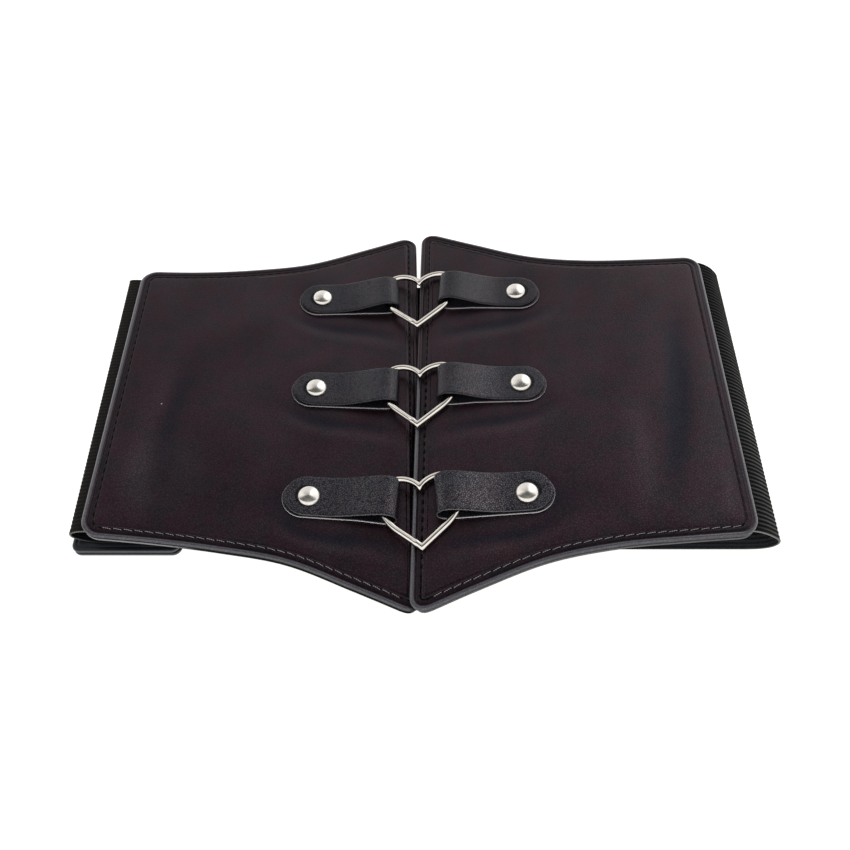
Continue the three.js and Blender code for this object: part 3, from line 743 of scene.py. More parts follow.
# Long soft bends of the panels: path along and up, with height and width
BENDS = {
    "left": [
        {"path": [(127, -72), (131, -30), (124, 10)], "height": 0.28, "width": 5.0},
        {"path": [(118, -60), (120, -20), (112, 30)], "height": -0.22, "width": 6.0},
        {"path": [(20, -70), (60, -62), (95, -66)], "height": -0.16, "width": 7.0},
    ],
    "right": [
        {"path": [(114, -60), (123, -14), (129, 42)], "height": -0.38, "width": 6.5},
        {"path": [(98, -70), (100, -46), (100, -14)], "height": 0.42, "width": 7.0},
        {"path": [(134, -76), (137, -64), (139, -50)], "height": 0.26, "width": 5.0},
        {"path": [(90, 36), (97, 56), (104, 76)], "height": 0.22, "width": 8.0},
        {"path": [(22, -70), (60, -60), (90, -62)], "height": -0.18, "width": 7.0},
    ],
}
BEND_STEP = 4.0


def soft_bend(flat, bend, raised=0):
    """Height of one soft bend of the leather, fading towards both ends of its path."""
    path = curve_through([(along, up + raised) for along, up in bend["path"]], BEND_STEP)
    apart, share = distance_to_path(flat, path)
    fade = np.sin(math.pi * np.clip(share, 0.02, 0.98)) ** 0.5
    return bend["height"] * fade * bell(apart, bend["width"])


def field_relief(panel, flat, inset):
    """Dents and soft waves of the leather inside the stitched line."""
    height = sum(soft_bend(flat, bend) for bend in BENDS[panel["name"]])
    for row in TAB_ROWS:
        apart = np.linalg.norm(flat - (RIVET_ALONG, row["height"]), axis=1)
        height -= DENT_DEPTH * bell(apart, DENT_RADIUS)
        height += sum(soft_bend(flat, wave, row["height"]) for wave in WAVES)
    return height * ramp(inset, 5, 11)


# The left panel's rim lies flat along the seam, and sinks away at its near end, where the right panel
# reaches over it
BEAD_SINK = 0.5
NEAR_SINK = 1.1
# The right panel's groove is pulled shut between the stitches along the near part of the seam
SEAM_OVALS_END = 14.0
SEAM_FILL = 0.26
# How dark each bead's lower half is
BELOW_SHADE = {"left": 1.9, "right": 1.3}


def sunk_bead(panel, along, inset):
    return (panel["name"] == "left") * ramp(along, 7, 3) * ramp(inset, 2.7, 2.1)


def sunk_rim(panel, along, up, inset):
    near = ramp(up, 10, -40) * ramp(up, -88, -76)
    return (panel["name"] == "left") * near * ramp(along, 7, 3) * ramp(inset, FLANGE_END, 3.0)


def seam_filling(panel, along, up, inset):
    lower = ramp(up, SEAM_OVALS_END, 2) * ramp(up, -98, -92)
    return (panel["name"] == "right") * lower * ramp(along, 7.5, 5.5) * bell(inset - 4.68, 0.45)


def face_body(panel):
    """The padded leather with its bead, flange and groove, its dents and waves, and its changed seam side."""
    rings = [(inset, float(face_level(inset))) for inset in FACE_RIM_INSETS] + FACE_EDGE

    def place(flat, level, inset, on_top):
        along, up = flat.T
        level = np.where(on_top & (inset >= FACE_RIM_INSETS[0]), face_level(inset), level)
        sink = BEAD_SINK * sunk_bead(panel, along, inset) + NEAR_SINK * sunk_rim(panel, along, up, inset)
        level = level - sink * ramp(level, -1.25, -0.45)
        raised = field_relief(panel, flat, inset) + SEAM_FILL * seam_filling(panel, along, up, inset)
        return panel_point(panel, along, up, level + np.where(on_top, raised, 0))

    return slab(panel_outline(panel, *FACE_GRID, 0), rings, place)


def face_shading(panel, body):
    """How strongly each point of the leather is painted with the bead's highlight, and how dark it is painted
    with shade in its creases, recesses and the bead's underside.
    """
    left, right = panel["name"] == "left", panel["name"] == "right"
    along, inset = body.along, body.inset
    bead = sunk_bead(panel, along, inset)
    rim_sunk = sunk_rim(panel, along, body.up, inset)
    filled = np.minimum(seam_filling(panel, along, body.up, inset), 1)
    below = ramp(body.level, -0.55, -1.05)
    # the right bead's painted highlight is narrower and dimmer up the seam, and narrower along its outer
    # side, where a weaker painted highlight spreads over the flange
    seam_side = ramp(along, 7, 4)
    high = seam_side * ramp(body.up, 0, 15) * right
    outer = ramp(along, panel["length"] - 7, panel["length"] - 4) * right
    width = BEAD_WIDTH - 0.9 * high - 0.4 * outer
    edge = ramp(inset, width, width - 1) * (1 - 0.4 * high) * (1 - bead)
    edge = np.maximum(edge, 0.45 * outer * ramp(inset, 3.8, 2.6)) * (1 - below)
    flange = ramp(inset, BEAD_WIDTH, 2.4) * ramp(inset, FLANGE_END, 4.9) * (1 - 0.9 * outer)
    bead_crease = 0.9 * bell(inset - BEAD_CREASE, 0.2) * (1 - seam_side * left) * (1 - outer)
    stitch_crease = 1.2 * bell(inset - STITCH_CREASE, 0.38) * (1 - filled)
    upper = flange * (1 + 1.2 * rim_sunk) + bead_crease + stitch_crease
    pressed = np.maximum(np.where(body.level > -1.2, upper, 0), BELOW_SHADE[panel["name"]] * below)
    return edge, pressed


def make_front_panel(panel):
    name = panel["name"]
    body = face_body(panel)
    edge, pressed = face_shading(panel, body)
    relief = field_relief(panel, flat_points(body.along, body.up), body.inset)
    # hollow: the depth of the dents and waves, where bluish shade and reflection are painted
    hollow = np.where(body.on_top, np.clip(-relief / 0.3, -1, 1), 0)
    make_sheet(f"face_{name}", body, FACE_LEATHER, "face_leather", f"front_panel_{name}", panel_size(panel),
               "laid", [f"backing_{name}"], edge=edge, pressed=pressed, hollow=hollow)


# Backings

BACKING_UPPER = [(6, 0), (2, 0), (0.35, 0), (0.1, 0.06), (0, 0.2), (0, 0.42), (0, 0.52)]
BACKING_LOWER = [(0, 0.25), (0.1, 0.06), (0.35, 0), (2, 0), (6, 0)]
SEAM_SHORT = 1.3
CUT_EDGE = 0.5


def make_backing(panel):
    name = panel["name"]

    def place(flat, level, inset, on_top):
        along, up = flat.T
        # the board stops short of the leather along the seam, and comes out flush with it
        # along the near edge
        along = along + SEAM_SHORT * ramp(along, 8, 2)
        up = up - BACKING_INSET * ramp(up, -60, -70) * ramp(inset, 2, 0)
        return panel_point(panel, along, up, level)

    rings = rim(BACKING_TOP, BACKING_BOTTOM, BACKING_UPPER, BACKING_LOWER)
    body = slab(panel_outline(panel, *BACKING_GRID, BACKING_INSET), rings, place)
    # the pale cut edge is painted lit only along its top: fully along the outer part of the left panel and
    # half as pale on the right panel, with the dark skin colour as painted shade elsewhere
    painted_light_share = ramp(body.along, 98, 110) if name == "left" else 0.5
    edge = ramp(body.inset, 0.5, 0.35) * (body.level > BACKING_TOP - CUT_EDGE) * painted_light_share
    make_sheet(f"backing_{name}", body, BACKING_FELT, "backing_felt", f"panel_backing_{name}",
               panel_size(panel), "laid", [f"band_{name}"], edge=edge)


# Stitching

STITCH_PITCH = 4.5
STITCH_SECTIONS = 9
STITCH_SIDES = 8
TWIST_PITCH = 0.9
# Each kind of stitch: share of the pitch, radius, slant across the line, and how deep in shade it lies
STITCHES = {
    "near": {"share": 1.0, "radius": 0.2, "slant": 0.5, "shade": 0.0},
    "seam": {"share": 0.52, "radius": 0.55, "slant": 0.0, "shade": 1.0},
    "other": {"share": 0.7, "radius": 0.24, "slant": 0.3, "shade": 0.9},
}


def stitch_kind(panel, along, up):
    """Which stitch lies at a place: ones with a painted highlight along the near edge only, and ovals down
    the right seam; the rest are painted in shade.
    """
    name = panel["name"]
    near_edge = -smooth_table(PANEL_EDGES[name]["near"], np.array([along / panel["length"]]))[0]
    if up < near_edge + 9 and 8 < along < panel["length"] - 8:
        return STITCHES["near"]
    if along < 8 and name == "right" and up < SEAM_OVALS_END:
        return STITCHES["seam"]
    return STITCHES["other"]


def stitch_faces():
    """Faces of one capsule of thread, with a fan of quads at each end."""
    fan = np.array([(0, j, j + 1, j + 2) for j in range(1, STITCH_SIDES - 2, 2)])
    last = (STITCH_SECTIONS - 1) * STITCH_SIDES
    return np.vstack([tube_faces(STITCH_SECTIONS, STITCH_SIDES), fan[:, ::-1], fan + last])


def thread_run(path, kind_at, place):
    """Capsules of thread along a closed flat path, each dipping into its holes at both ends. Returns points,
    faces, twist and shade."""
    closed = np.vstack([path, path[:1]])
    lengths = lengths_along(closed)
    count = int(lengths[-1] // STITCH_PITCH)
    step = lengths[-1] / count
    turns = np.linspace(0, 2 * math.pi, STITCH_SIDES, endpoint=False)
    shares = np.linspace(0, 1, STITCH_SECTIONS)
    arch = np.sin(math.pi * shares) ** 0.4
    taper = np.clip(np.sin(math.pi * np.clip(shares, 0.03, 0.97)) * 2.2, 0.15, 1) ** 0.6
    points, twist, shaded = [], [], []
    for k in range(count):
        middle = (k + 0.4) * step
        kind = kind_at(*sample(closed, lengths, [middle])[0])
        at = (middle + (shares - 0.5) * kind["share"] * step) % lengths[-1]
        flat = sample(closed, lengths, at)
        forward = unit(sample(closed, lengths, (at + 0.2) % lengths[-1]) - flat)
        flat = flat + turned_left(forward) * ((shares - 0.5) * kind["slant"])[:, None]
        centre = place(flat, arch, kind["shade"])
        along = unit(np.gradient(centre, axis=0))
        side = unit(np.cross(along, (0.0, 0.0, 1.0)))
        top = np.cross(side, along)
        round_it = np.cos(turns)[None, :, None] * side[:, None] + np.sin(turns)[None, :, None] * top[:, None]
        points.append((centre[:, None] + (kind["radius"] * taper)[:, None, None] * round_it).reshape(-1, 3))
        wound = shares[:, None] * kind["share"] * step / TWIST_PITCH + turns[None] / (2 * math.pi)
        twist.append(wound.ravel())
        shaded.append(np.full(wound.size, kind["shade"]))
    faces = np.vstack([stitch_faces() + k * STITCH_SECTIONS * STITCH_SIDES for k in range(count)])
    return np.vstack(points), faces, np.concatenate(twist), np.concatenate(shaded)


def make_face_stitches(panel):
    outline = np.vstack([side[:-1] for side in panel_outline(panel, *FACE_GRID, 0)])
    normals, _ = inward_normals(outline)

    def kind_at(along, up):
        return stitch_kind(panel, along, up)

    def place(flat, arch, shade):
        along, up = flat.T
        filled = seam_filling(panel, along, up, STITCH_INSET)
        sunk = NEAR_SINK * sunk_rim(panel, along, up, 4.0)
        level = -0.92 + 0.6 * arch - 0.35 * (shade > 0) + 0.55 * filled - sunk
        return panel_point(panel, along, up, level)

    points, faces, twist, shaded = thread_run(outline + normals * STITCH_INSET, kind_at, place)
    name = f"face_stitches_{panel['name']}"
    piece = make_piece(name, points, faces, THREAD, {"twist": twist, "shaded": shaded})
    settle(piece, "face_leather")


# Elastic bands

RIB_STEPS = 6
RIB_DEPTHS = {"band_left": 0.2, "band_right": 0.34}
# Columns of faces round each fold, along the right band's flat run on the table, and along the left one's
FOLD_COLUMNS = 48
TABLE_COLUMNS = 32
SHORT_COLUMNS = 8
ELASTIC_RIM = [(0.45, 0), (0.2, 0.06), (0.04, 0.25)]
# The lower layer bulges a little at its far edge near the middle
BULGE = 1.5
BULGE_REACH = 45


def fold_path(rows, lap):
    """One edge's way round its fold and on along the lap: across, height and share of the fold turned."""
    turns = np.linspace(0, 1, len(rows))
    path = curve_through([(x, z, turn) for (x, z), turn in zip(rows, turns)], 1.0)
    lengths = lengths_along(path[:, :2])
    path = sample(path, lengths, np.linspace(0, lengths[-1], FOLD_COLUMNS))
    lap = [(x, z, 1.0) for x, z in lap]
    columns = TABLE_COLUMNS if len(lap) > 1 else SHORT_COLUMNS
    parts = [path, np.linspace(path[-1], lap[0], columns)[1:]]
    if len(lap) > 1:
        parts.append(curve_through(lap, 1.0)[1:])
    return np.vstack(parts)


def rail(path, upper_y, lower_y):
    """One edge of a band as x, y and z, with the x and z of its normal."""
    normal = turned_left(unit(np.gradient(path[:, :2], axis=0)))
    return np.column_stack([path[:, 0], upper_y + path[:, 2] * (lower_y - upper_y), path[:, 1], normal])


def make_band(name, fold, lap, edges, node):
    fold = np.array(fold)
    near_path, far_path = fold_path(fold[:, :2], lap), fold_path(fold[:, 2:], lap)
    near = rail(near_path, edges["upperNear"], edges["lowerNear"])
    far = rail(far_path, edges["upperFar"], edges["lowerFar"])
    middle = (near_path[:, :2] + far_path[:, :2]) / 2
    far[:, 1] += BULGE * bell(middle[:, 0], BULGE_REACH)
    lengths = lengths_along(middle)
    width = edges["upperFar"] - edges["upperNear"]
    pitch = RIB_PITCHES[name]
    ups = np.linspace(0, width, round(width / pitch) * RIB_STEPS + 1)

    def place(flat, level, inset, on_top):
        at, up = flat[:, 0], flat[:, 1:] / width
        x, y, z, nx, nz = (sample(near, lengths, at) * (1 - up) + sample(far, lengths, at) * up).T
        rib = RIB_DEPTHS[name] / 2 * (np.cos(2 * math.pi * flat[:, 1] / pitch) - 1) * ramp(inset, 0.9, 1.5)
        level = level + np.sign(level) * rib
        return np.stack([x + nx * level, y, z + nz * level], 1)

    sides = [
        flat_points(0.0, ups),
        flat_points(lengths, width),
        flat_points(lengths[-1], ups[::-1]),
        flat_points(lengths[::-1], 0.0),
    ]
    half = ELASTIC_THICKNESS / 2
    body = slab(sides, rim(half, -half, ELASTIC_RIM + [(0, half)], ELASTIC_RIM[::-1]), place)
    panel = PANELS["left" if name == "band_left" else "right"]
    panel_side = panel_point(panel, np.full(len(body.points), panel["length"]), body.points[:, 1], 0.0)
    reach = np.abs(body.points[:, 0])
    inner_side = body.on_top if name == "band_left" else ~body.on_top
    piece = make_piece(name, body.points, body.faces, ELASTICS[name], {
        # edge: where the painted highlight lies, full on the upper layer and a quarter as strong past the
        # fold
        "edge": ramp(body.inset, 0.5, 0) * np.interp(body.along, lengths, 1 - 0.75 * near_path[:, 2]),
        "along": body.along,
        "across": body.up,
        # open: how far the band lies out from under the panel's outer edge, for its painted shade
        "open": ramp(reach - np.abs(panel_side[:, 0]), 0, 11),
        # inner: where the painted inside colour shows, on the inner side out towards the loop
        "inner": inner_side * ramp(reach, 95, 105),
    })
    settle(piece, "woven_elastic", node)


# Plackets and fastener

PLACKET_UPPER = [(3.6, 0), (3.0, 0), (2.6, 0.08), (2.3, 0.2), (2.0, 0.08), (1.6, 0), (1.1, 0), (0.6, 0.06),
                 (0.25, 0.22), (0.05, 0.45), (0, PLACKET["thickness"] / 2)]
PLACKET_LOWER = [(0.05, 0.45), (0.25, 0.22), (0.6, 0.06), (1.1, 0), (3.6, 0)]
TAPE_EDGE = [(1.2, 0), (0.5, 0), (0.15, 0.08), (0, 0.3)]


def rounded_sides(width, height, radius, rows, columns, corner_steps):
    """Four sides of a rounded rectangle with its lower left corner at the origin."""
    quarter = np.linspace(0, math.pi / 2, 2 * corner_steps + 1)
    near_left = flat_points(radius - radius * np.cos(quarter), radius - radius * np.sin(quarter))
    far_left = near_left * (1, -1) + (0, height)
    near_right = near_left * (-1, 1) + (width, 0)
    far_right = near_left * (-1, -1) + (width, height)
    half = corner_steps
    up = np.linspace(radius, height - radius, rows + 1)[1:-1]
    along = np.linspace(radius, width - radius, columns + 1)[1:-1]
    return [
        np.vstack([near_left[half::-1], flat_points(0.0, up), far_left[:half + 1]]),
        np.vstack([far_left[half:], flat_points(along, height), far_right[half:][::-1]]),
        np.vstack([far_right[half::-1], flat_points(width, up[::-1]), near_right[:half + 1]]),
        np.vstack([near_right[half:], flat_points(along[::-1], 0.0), near_left[half:][::-1]]),
    ]


def make_plate(name, plate, low, grid, upper, lower, edge_from, edge_to, material, slot, node, rests_on):
    """A flat rounded strip lying at a height, with an edge that shows over some distance in."""
    width = plate["right"] - plate["left"]
    height = plate["far"] - plate["near"]

    def place(flat, level, inset, on_top):
        return np.stack([flat[:, 0] + plate["left"], flat[:, 1] + plate["near"], level + low], 1)

    sides = rounded_sides(width, height, plate["radius"], *grid)
    body = slab(sides, rim(plate["thickness"], 0, upper, lower), place)
    make_sheet(name, body, material, slot, node, (width, height), "laid", rests_on,
               edge=ramp(body.inset, edge_from, edge_to))


def make_placket(name, node, low):
    make_plate(name, PLACKET, low, (70, 24, 5), PLACKET_UPPER, PLACKET_LOWER, 1.2, 0, PLACKET_LEATHER,
               "placket_leather", node, ["floor"])


def make_fastener():
    make_plate("hook_tape", FASTENER, FASTENER_LOW, (60, 16, 3), TAPE_EDGE, TAPE_EDGE[::-1], 0.3, 0.15,
               HOOK_TAPE, "hook_tape", "placket_fastener", ["placket_lower"])


# Tabs

# How each strap lies: how far its upper layer and its lower layer are shifted up the panel, how much the
# loop is drawn in from its near side and from its far side, and how far its lower layer falls there
LIES = {
    "top_left": {"upper": 0.3, "lower": 0.0, "near": 0.6, "far": 0.3, "fall": 0.6},
    "top_right": {"upper": 0.8, "lower": 0.2, "near": 0.9, "far": 0.2, "fall": 0.8},
    "middle_left": {"upper": 0.5, "lower": 0.2, "near": 0.6, "far": 0.0, "fall": 0.3},
    "middle_right": {"upper": 0.8, "lower": 0.3, "near": 0.9, "far": 0.3, "fall": 0.9},
    "bottom_left": {"upper": 0.7, "lower": 0.2, "near": -0.4, "far": 0.2, "fall": 1.1},
    "bottom_right": {"upper": 1.6, "lower": 0.9, "near": 0.4, "far": -0.4, "fall": 0.0},
}
# How pale each row's raw edges are, a real pale cut with painted light that is palest on the bottom row, and
# how much painted shade darkens them round the curl of the loop
RAW_EDGE_PALE_AND_LIT = {"top": 0.62, "middle": 0.66, "bottom": 1.0}
CURL_PAINTED_SHADE = {"top": 0.85, "middle": 0.85, "bottom": 0.6}
# Distance from the round end's centre of the middle of each side's shiny stretch, and how shiny it is
SHINY_AT = {"left": 29, "right": 20}
SHINE = {"left": 1.0, "right": 0.5}
SHINY_REACH = 9
# The lower layer's round end shows beyond the upper one's by this much
LOWER_BEYOND = 1.2
# Rows of the strap's path between which it turns from the lower layer to the upper one
TURN_START = 3
TURN_END = 9
# The loop starts this far from the round ends, and is fully there after this much more
LOOP_START = 22
LOOP_ROUND = 14
STRAP_STEPS = 110
END_STEPS = 12
STRAP_RIM = [(2.2, 0), (1.4, 0), (0.8, 0.02), (0.4, 0.07), (0.15, 0.16), (0.03, 0.32)]


def strap_middle():
    """The strap's middle line from one rounded end's centre to the other: reach, height, share of the loop
    drawn in, and share of the way from the lower layer to the upper one."""
    path = np.array(STRAP_PATH)
    path[:, 2] /= path[:, 2].max()
    path[-1, 0] += LOWER_BEYOND
    layer = ramp(np.arange(len(path)), TURN_START, TURN_END)
    return curve_through(np.column_stack([path, layer]), 0.8)


def strap_sides(total):
    """Four sides of the flat strap between its two half-round ends."""
    radius = STRAP_WIDTH / 2
    end_arc = np.linspace(-math.pi / 4, math.pi / 4, 2 * END_STEPS + 1)
    side_arc = np.linspace(math.pi / 4, math.pi / 2, END_STEPS + 1)[:-1]
    start_end = radius * flat_points(-np.cos(end_arc), np.sin(end_arc))
    shoulder = radius * flat_points(-np.cos(side_arc), np.sin(side_arc))
    far = np.vstack([
        shoulder,
        flat_points(np.linspace(0, total, STRAP_STEPS), radius),
        (shoulder * (-1, 1) + (total, 0))[::-1],
    ])
    return [start_end, far, (start_end * (-1, 1) + (total, 0))[::-1], (far * (1, -1))[::-1]]


def make_tab(panel, row):
    side = panel["name"]
    name = f"{row['name']}_{side}"
    lie = LIES[name]
    turn = math.radians(row[side])
    line = strap_middle()
    lengths = lengths_along(line[:, :2])
    total = lengths[-1]
    # the path first runs out along the lower layer, so its left-hand normal points up there and down
    # on the way back along the upper layer
    line = np.column_stack([line, turned_left(unit(np.gradient(line[:, :2], axis=0)))])
    radius = STRAP_WIDTH / 2

    def place(flat, level, inset, on_top):
        at = np.clip(flat[:, 0], 0, total)
        across = flat[:, 1]
        near_side = across < 0
        reach, height, drawn, layer, reach_normal, height_normal = sample(line, lengths, at).T
        reach = reach - np.abs(flat[:, 0] - at) + level * reach_normal
        loop = ramp(reach, LOOP_START, LOOP_START + LOOP_ROUND)
        inwards = drawn * np.where(near_side, lie["near"], -lie["far"]) * np.abs(across) / radius
        sink = lie["fall"] * loop * (1 - layer) * np.where(near_side, 1, 0.4)
        across = across + inwards + lie["lower"] + layer * (lie["upper"] - lie["lower"]) - sink
        along = RIVET_ALONG - reach * math.cos(turn) + across * math.sin(turn)
        up = row["height"] + reach * math.sin(turn) + across * math.cos(turn)
        return panel_point(panel, along, up, height + level * height_normal)

    half = STRAP_THICKNESS / 2
    body = slab(strap_sides(total), rim(half, -half, STRAP_RIM + [(0, half)], STRAP_RIM[::-1]), place)
    # the two broad sides of the strap are its smooth skin; its edge is the pale raw cut, with painted
    # light that makes it palest along the lower layer
    reach, layer = sample(line[:, [0, 3]], lengths, body.along).T
    curl = CURL_PAINTED_SHADE[row["name"]] * np.sin(math.pi * np.clip(layer, 0, 1))
    raw = RAW_EDGE_PALE_AND_LIT[row["name"]] * ramp(body.inset, 0.2, 0) * (1 - 0.6 * layer) * (1 - curl)
    # the upper layer is stretched smooth and shiny where it bends
    shiny = -SHINE[side] * np.where(layer > 0.5, bell(reach - SHINY_AT[side], SHINY_REACH), 0)
    # and painted dark with shade under the rivet's cap and in a thin ring round it
    pressed = 1.6 * ramp(np.hypot(body.along - total, body.up), 5.7, 5.1)
    make_sheet(f"strap_{name}", body, TAB_LEATHER, "tab_leather", f"tab_{name}",
               (STRAP_WIDTH, total + 2 * radius), "folded", [f"face_{side}"],
               edge=raw, pressed=pressed, hollow=shiny)


# Rivets

# Radius and height over the cap's base: the blunt cap, its rolled edge, the post and the back cap
RIVET_PROFILE = [
    (0.0, 2.45), (0.5, 2.43), (1.0, 2.36), (1.5, 2.26), (2.0, 2.14), (2.5, 2.0), (3.0, 1.84), (3.5, 1.67),
    (4.0, 1.50), (4.35, 1.33), (4.62, 1.10), (4.88, 0.75), (5.05, 0.38), (5.1, 0.15), (5.08, 0.03),
    (4.9, -0.03), (4.3, -0.05), (1.6, -0.05),
    (1.6, -7.2), (4.1, -7.2), (4.2, -7.3), (4.2, -7.8), (4.1, -7.9), (0.0, -7.9),
]
RIVET_SIDES = 64


def rivet_frame(panel, row):
    """Origin on the panel's top surface under a rivet, and its axes, the third one square to the panel."""
    alongs = RIVET_ALONG + panel["side"] * np.array([0.0, 1.0, -1.0, 0.0])
    ups = row["height"] + np.array([0.0, 0.0, 0.0, 1.0])
    origin, after, before, above = panel_point(panel, alongs, ups, 0.0)
    x = unit(after - before)
    z = unit(np.cross(x, above - origin))
    return origin, x, np.cross(z, x), z


def make_rivet(panel, row):
    origin, x, y, z = rivet_frame(panel, row)
    turns = np.linspace(0, 2 * math.pi, RIVET_SIDES, endpoint=False)
    circle = np.cos(turns)[:, None] * x + np.sin(turns)[:, None] * y
    rings = [origin + radius * circle + (CAP_BASE + height) * z for radius, height in RIVET_PROFILE[1:-1]]
    ends = [origin + (CAP_BASE + height) * z for _, height in (RIVET_PROFILE[0], RIVET_PROFILE[-1])]
    points = np.vstack(rings + ends)
    top, bottom = len(points) - 2, len(points) - 1
    here = np.arange(RIVET_SIDES)
    after = np.roll(here, -1)
    last = (len(rings) - 1) * RIVET_SIDES
    faces = np.vstack([
        tube_faces(len(rings), RIVET_SIDES),
        np.stack([np.full(RIVET_SIDES, top), after, here, here], 1),
        np.stack([np.full(RIVET_SIDES, bottom), last + here, last + after, last + after], 1),
    ])
    name = f"rivet_{row['name']}_{panel['name']}"
    settle(make_piece(name + "_cap", points, faces, SATIN_NICKEL), "nickel", name)


# Heart rings

LEG_STEPS = 14
NOTCH_STEPS = 3
ARC_STEP = 4
WIRE_SIDES = 24
# The weld swells the wire on the left leg next to the tip: how far off, how long and how much
WELD = {"from_tip": 3.4, "reach": 1.0, "swell": 0.16}


def heart_path():
    """The heart's middle line from its tip round by the right lobe, the notch and the left lobe."""
    def ahead():
        return np.array([math.cos(heading), math.sin(heading)])

    heading = math.radians(LEG_HEADING)
    points = list(np.linspace(np.zeros(2), HEART_LEG * ahead(), LEG_STEPS + 1))
    for radius, turn in HEART_ARCS:
        steps = max(8, round(turn / ARC_STEP))
        step = math.radians(turn / steps)
        chord = 2 * radius * math.sin(step / 2)
        for _ in range(steps):
            heading += step / 2
            points.append(points[-1] + chord * ahead())
            heading += step / 2
    notch = points[-1] - ahead() * points[-1][0] / math.cos(heading)
    points.extend(np.linspace(points[-1], notch, NOTCH_STEPS + 1)[1:])
    half = np.array(points)
    return np.vstack([half, (half[1:-1] * (-1, 1))[::-1]])


def make_ring(ring, slope, height):
    path = heart_path()
    turns = np.linspace(0, 2 * math.pi, WIRE_SIDES, endpoint=False)
    before = unit(path - np.roll(path, 1, axis=0))
    after = unit(np.roll(path, -1, axis=0) - path)
    along = unit(before + after)
    mitre = 1 / np.sum(along * after, axis=1)
    lengths = lengths_along(np.vstack([path, path[:1]]))
    from_tip = lengths[-1] - lengths[:-1]
    radius = WIRE_RADIUS * (1 + WELD["swell"] * bell(from_tip - WELD["from_tip"], WELD["reach"]))
    wide = (radius * mitre)[:, None] * np.cos(turns)
    flat = path[:, None] + turned_left(along)[:, None] * wide[..., None]
    up = radius[:, None] * np.sin(turns)
    turn = math.radians(ring["turn"])
    lean = math.atan(slope)
    x = flat[..., 0] * math.cos(turn) - flat[..., 1] * math.sin(turn)
    y = flat[..., 0] * math.sin(turn) + flat[..., 1] * math.cos(turn)
    points = np.stack([
        x * math.cos(lean) - up * math.sin(lean) + ring["x"],
        y + ring["y"] - RING_LOWER,
        x * math.sin(lean) + up * math.cos(lean) + height + slope * ring["x"],
    ], -1).reshape(-1, 3)
    name = f"heart_ring_{ring['name']}"
    faces = tube_faces(len(path), WIRE_SIDES, closed=True)
    settle(make_piece(name + "_wire", points, faces, NICKEL), "nickel", name)


# Building the belt

for panel in PANELS.values():
    make_front_panel(panel)
    make_backing(panel)
    make_face_stitches(panel)

make_placket("placket_lower", "placket_outer", 0.0)
make_placket("placket_upper", "placket_inner", PLACKET_INNER)
make_fastener()
make_band("band_left", LEFT_FOLD, LEFT_LAP, LEFT_EDGES, "elastic_left")
make_band("band_right", RIGHT_FOLD, RIGHT_LAP, RIGHT_EDGES, "elastic_right")

for row in TAB_ROWS:
    for panel in PANELS.values():
        make_tab(panel, row)
        make_rivet(panel, row)

left_seat = float(panel_top(PANELS["left"], np.array(LEFT_REST), 0.0)) + WIRE_SEAT
right_seat = float(panel_top(PANELS["right"], np.array(RIGHT_REST), 0.0)) + WIRE_SEAT
ring_slope = (right_seat - left_seat) / (LEFT_REST + RIGHT_REST)
ring_height = left_seat + ring_slope * LEFT_REST
for ring in RINGS:
    make_ring(ring, ring_slope, ring_height)


# Stage, in metres

FLOOR_HALF = 6.0
SOFTBOX = {"place": (0.1, 1.1, 1.0), "aim": (0, 0, 0), "size": (0.8, 0.5), "watts": 9.0}
CAMERA = {"place": (0.0035, -0.2453, 0.33), "down": 55, "lens": 34.64, "sensor": 36, "clip": 0.01}
TENT_WHITE = (1.0, 0.985, 0.97)


def add_object(name, data):
    made = bpy.data.objects.new(name, data)
    bpy.context.scene.collection.objects.link(made)
    return made


def make_floor():
    mesh = bpy.data.meshes.new("floor")
    corners = [(x * FLOOR_HALF, y * FLOOR_HALF, 0) for x, y in ((-1, -1), (1, -1), (1, 1), (-1, 1))]
    mesh.from_pydata(corners, [], [(0, 1, 2, 3)])
    material, _, _ = new_material(
        "floor", Roughness=0.9, Specular_IOR_Level=0.1, Base_Color=(0.34, 0.34, 0.33),
        Emission_Color=(1.0, 1.0, 0.97), Emission_Strength=0.93)
    mesh.materials.append(material)
    add_object("floor", mesh)


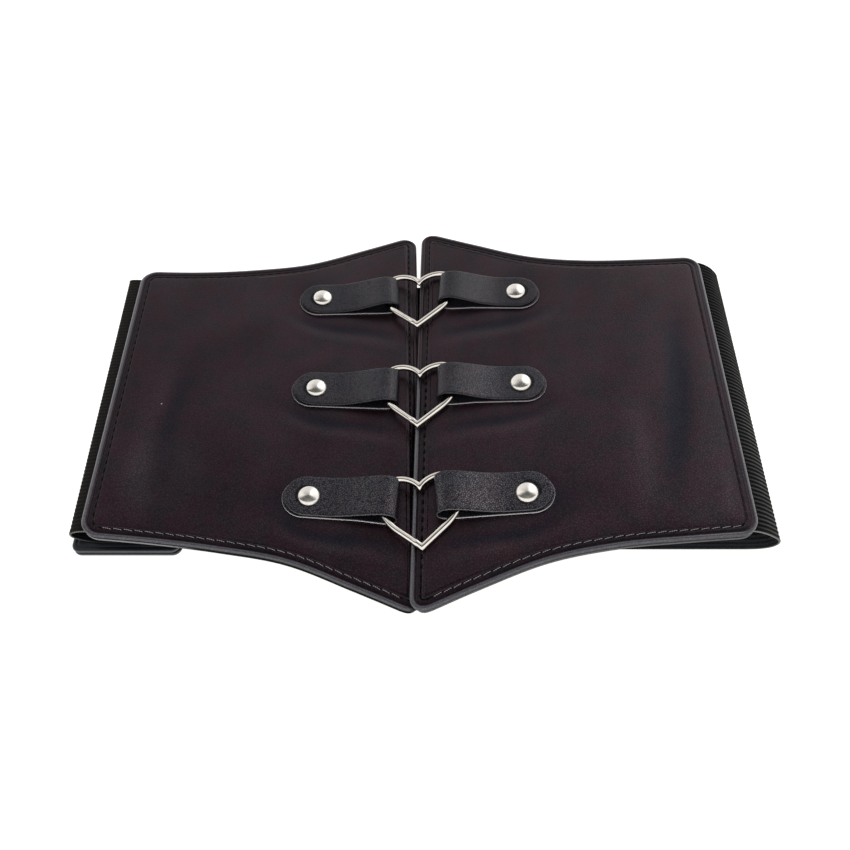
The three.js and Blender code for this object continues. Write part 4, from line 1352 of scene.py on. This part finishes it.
def make_light():
    data = bpy.data.lights.new("softbox", "AREA")
    data.shape = "RECTANGLE"
    data.size, data.size_y = SOFTBOX["size"]
    data.energy = SOFTBOX["watts"]
    light = add_object("softbox", data)
    light.location = SOFTBOX["place"]
    light.rotation_euler = (Vector(SOFTBOX["aim"]) - light.location).to_track_quat("-Z", "Y").to_euler()
    light.visible_glossy = False


def make_world():
    """A white tent with a greyer back wall, brighter on the right, and a dark opening overhead."""
    world = bpy.data.worlds.new("studio")
    world.use_nodes = True
    nodes = Nodes(world.node_tree)
    direction = nodes.add("TexCoord").outputs["Generated"]
    across, deep, height = (nodes.part(direction, axis) for axis in "XYZ")

    def oval(middle_x, middle_y, half_width, half_depth):
        """0 in the middle of an oval overhead, 1 at its edge, and more below the horizon."""
        wide = nodes.maths("DIVIDE", nodes.minus(across, middle_x), half_width)
        long = nodes.maths("DIVIDE", nodes.minus(deep, middle_y), half_depth)
        apart = nodes.plus(nodes.times(wide, wide), nodes.times(long, long))
        return nodes.plus(apart, nodes.ramp(height, -0.1, 0.1, 2.0, 0.0))

    right = nodes.soft_ramp(across, 0.05, 0.32, 0.0, 1.35)
    far = nodes.soft_ramp(deep, 0.5, 0.78, 0.0, 0.26)
    back = nodes.plus(nodes.plus(right, far), 0.50)
    veil = nodes.soft_ramp(oval(0.0, 0.58, 0.52, 0.42), 0.55, 1.25)
    white = nodes.add("Mix", {"data_type": "FLOAT"}, _0=veil, _2=back, _3=1.05).outputs[0]
    opening = nodes.soft_ramp(oval(-0.15, 0.02, 0.85, 0.26), 0.55, 1.4, 0.06, 1.0)
    nodes.fill(world.node_tree.nodes["Background"], Strength=nodes.times(white, opening), Color=TENT_WHITE)
    bpy.context.scene.world = world


def make_camera():
    data = bpy.data.cameras.new("camera")
    data.sensor_width = CAMERA["sensor"]
    data.lens = CAMERA["lens"]
    data.clip_start = CAMERA["clip"]
    camera = add_object("camera", data)
    camera.location = CAMERA["place"]
    camera.rotation_euler = (math.radians(90 - CAMERA["down"]), 0, 0)
    bpy.context.scene.camera = camera


make_floor()
make_world()
make_light()
make_camera()
bpy.context.scene.view_settings.view_transform = "Standard"
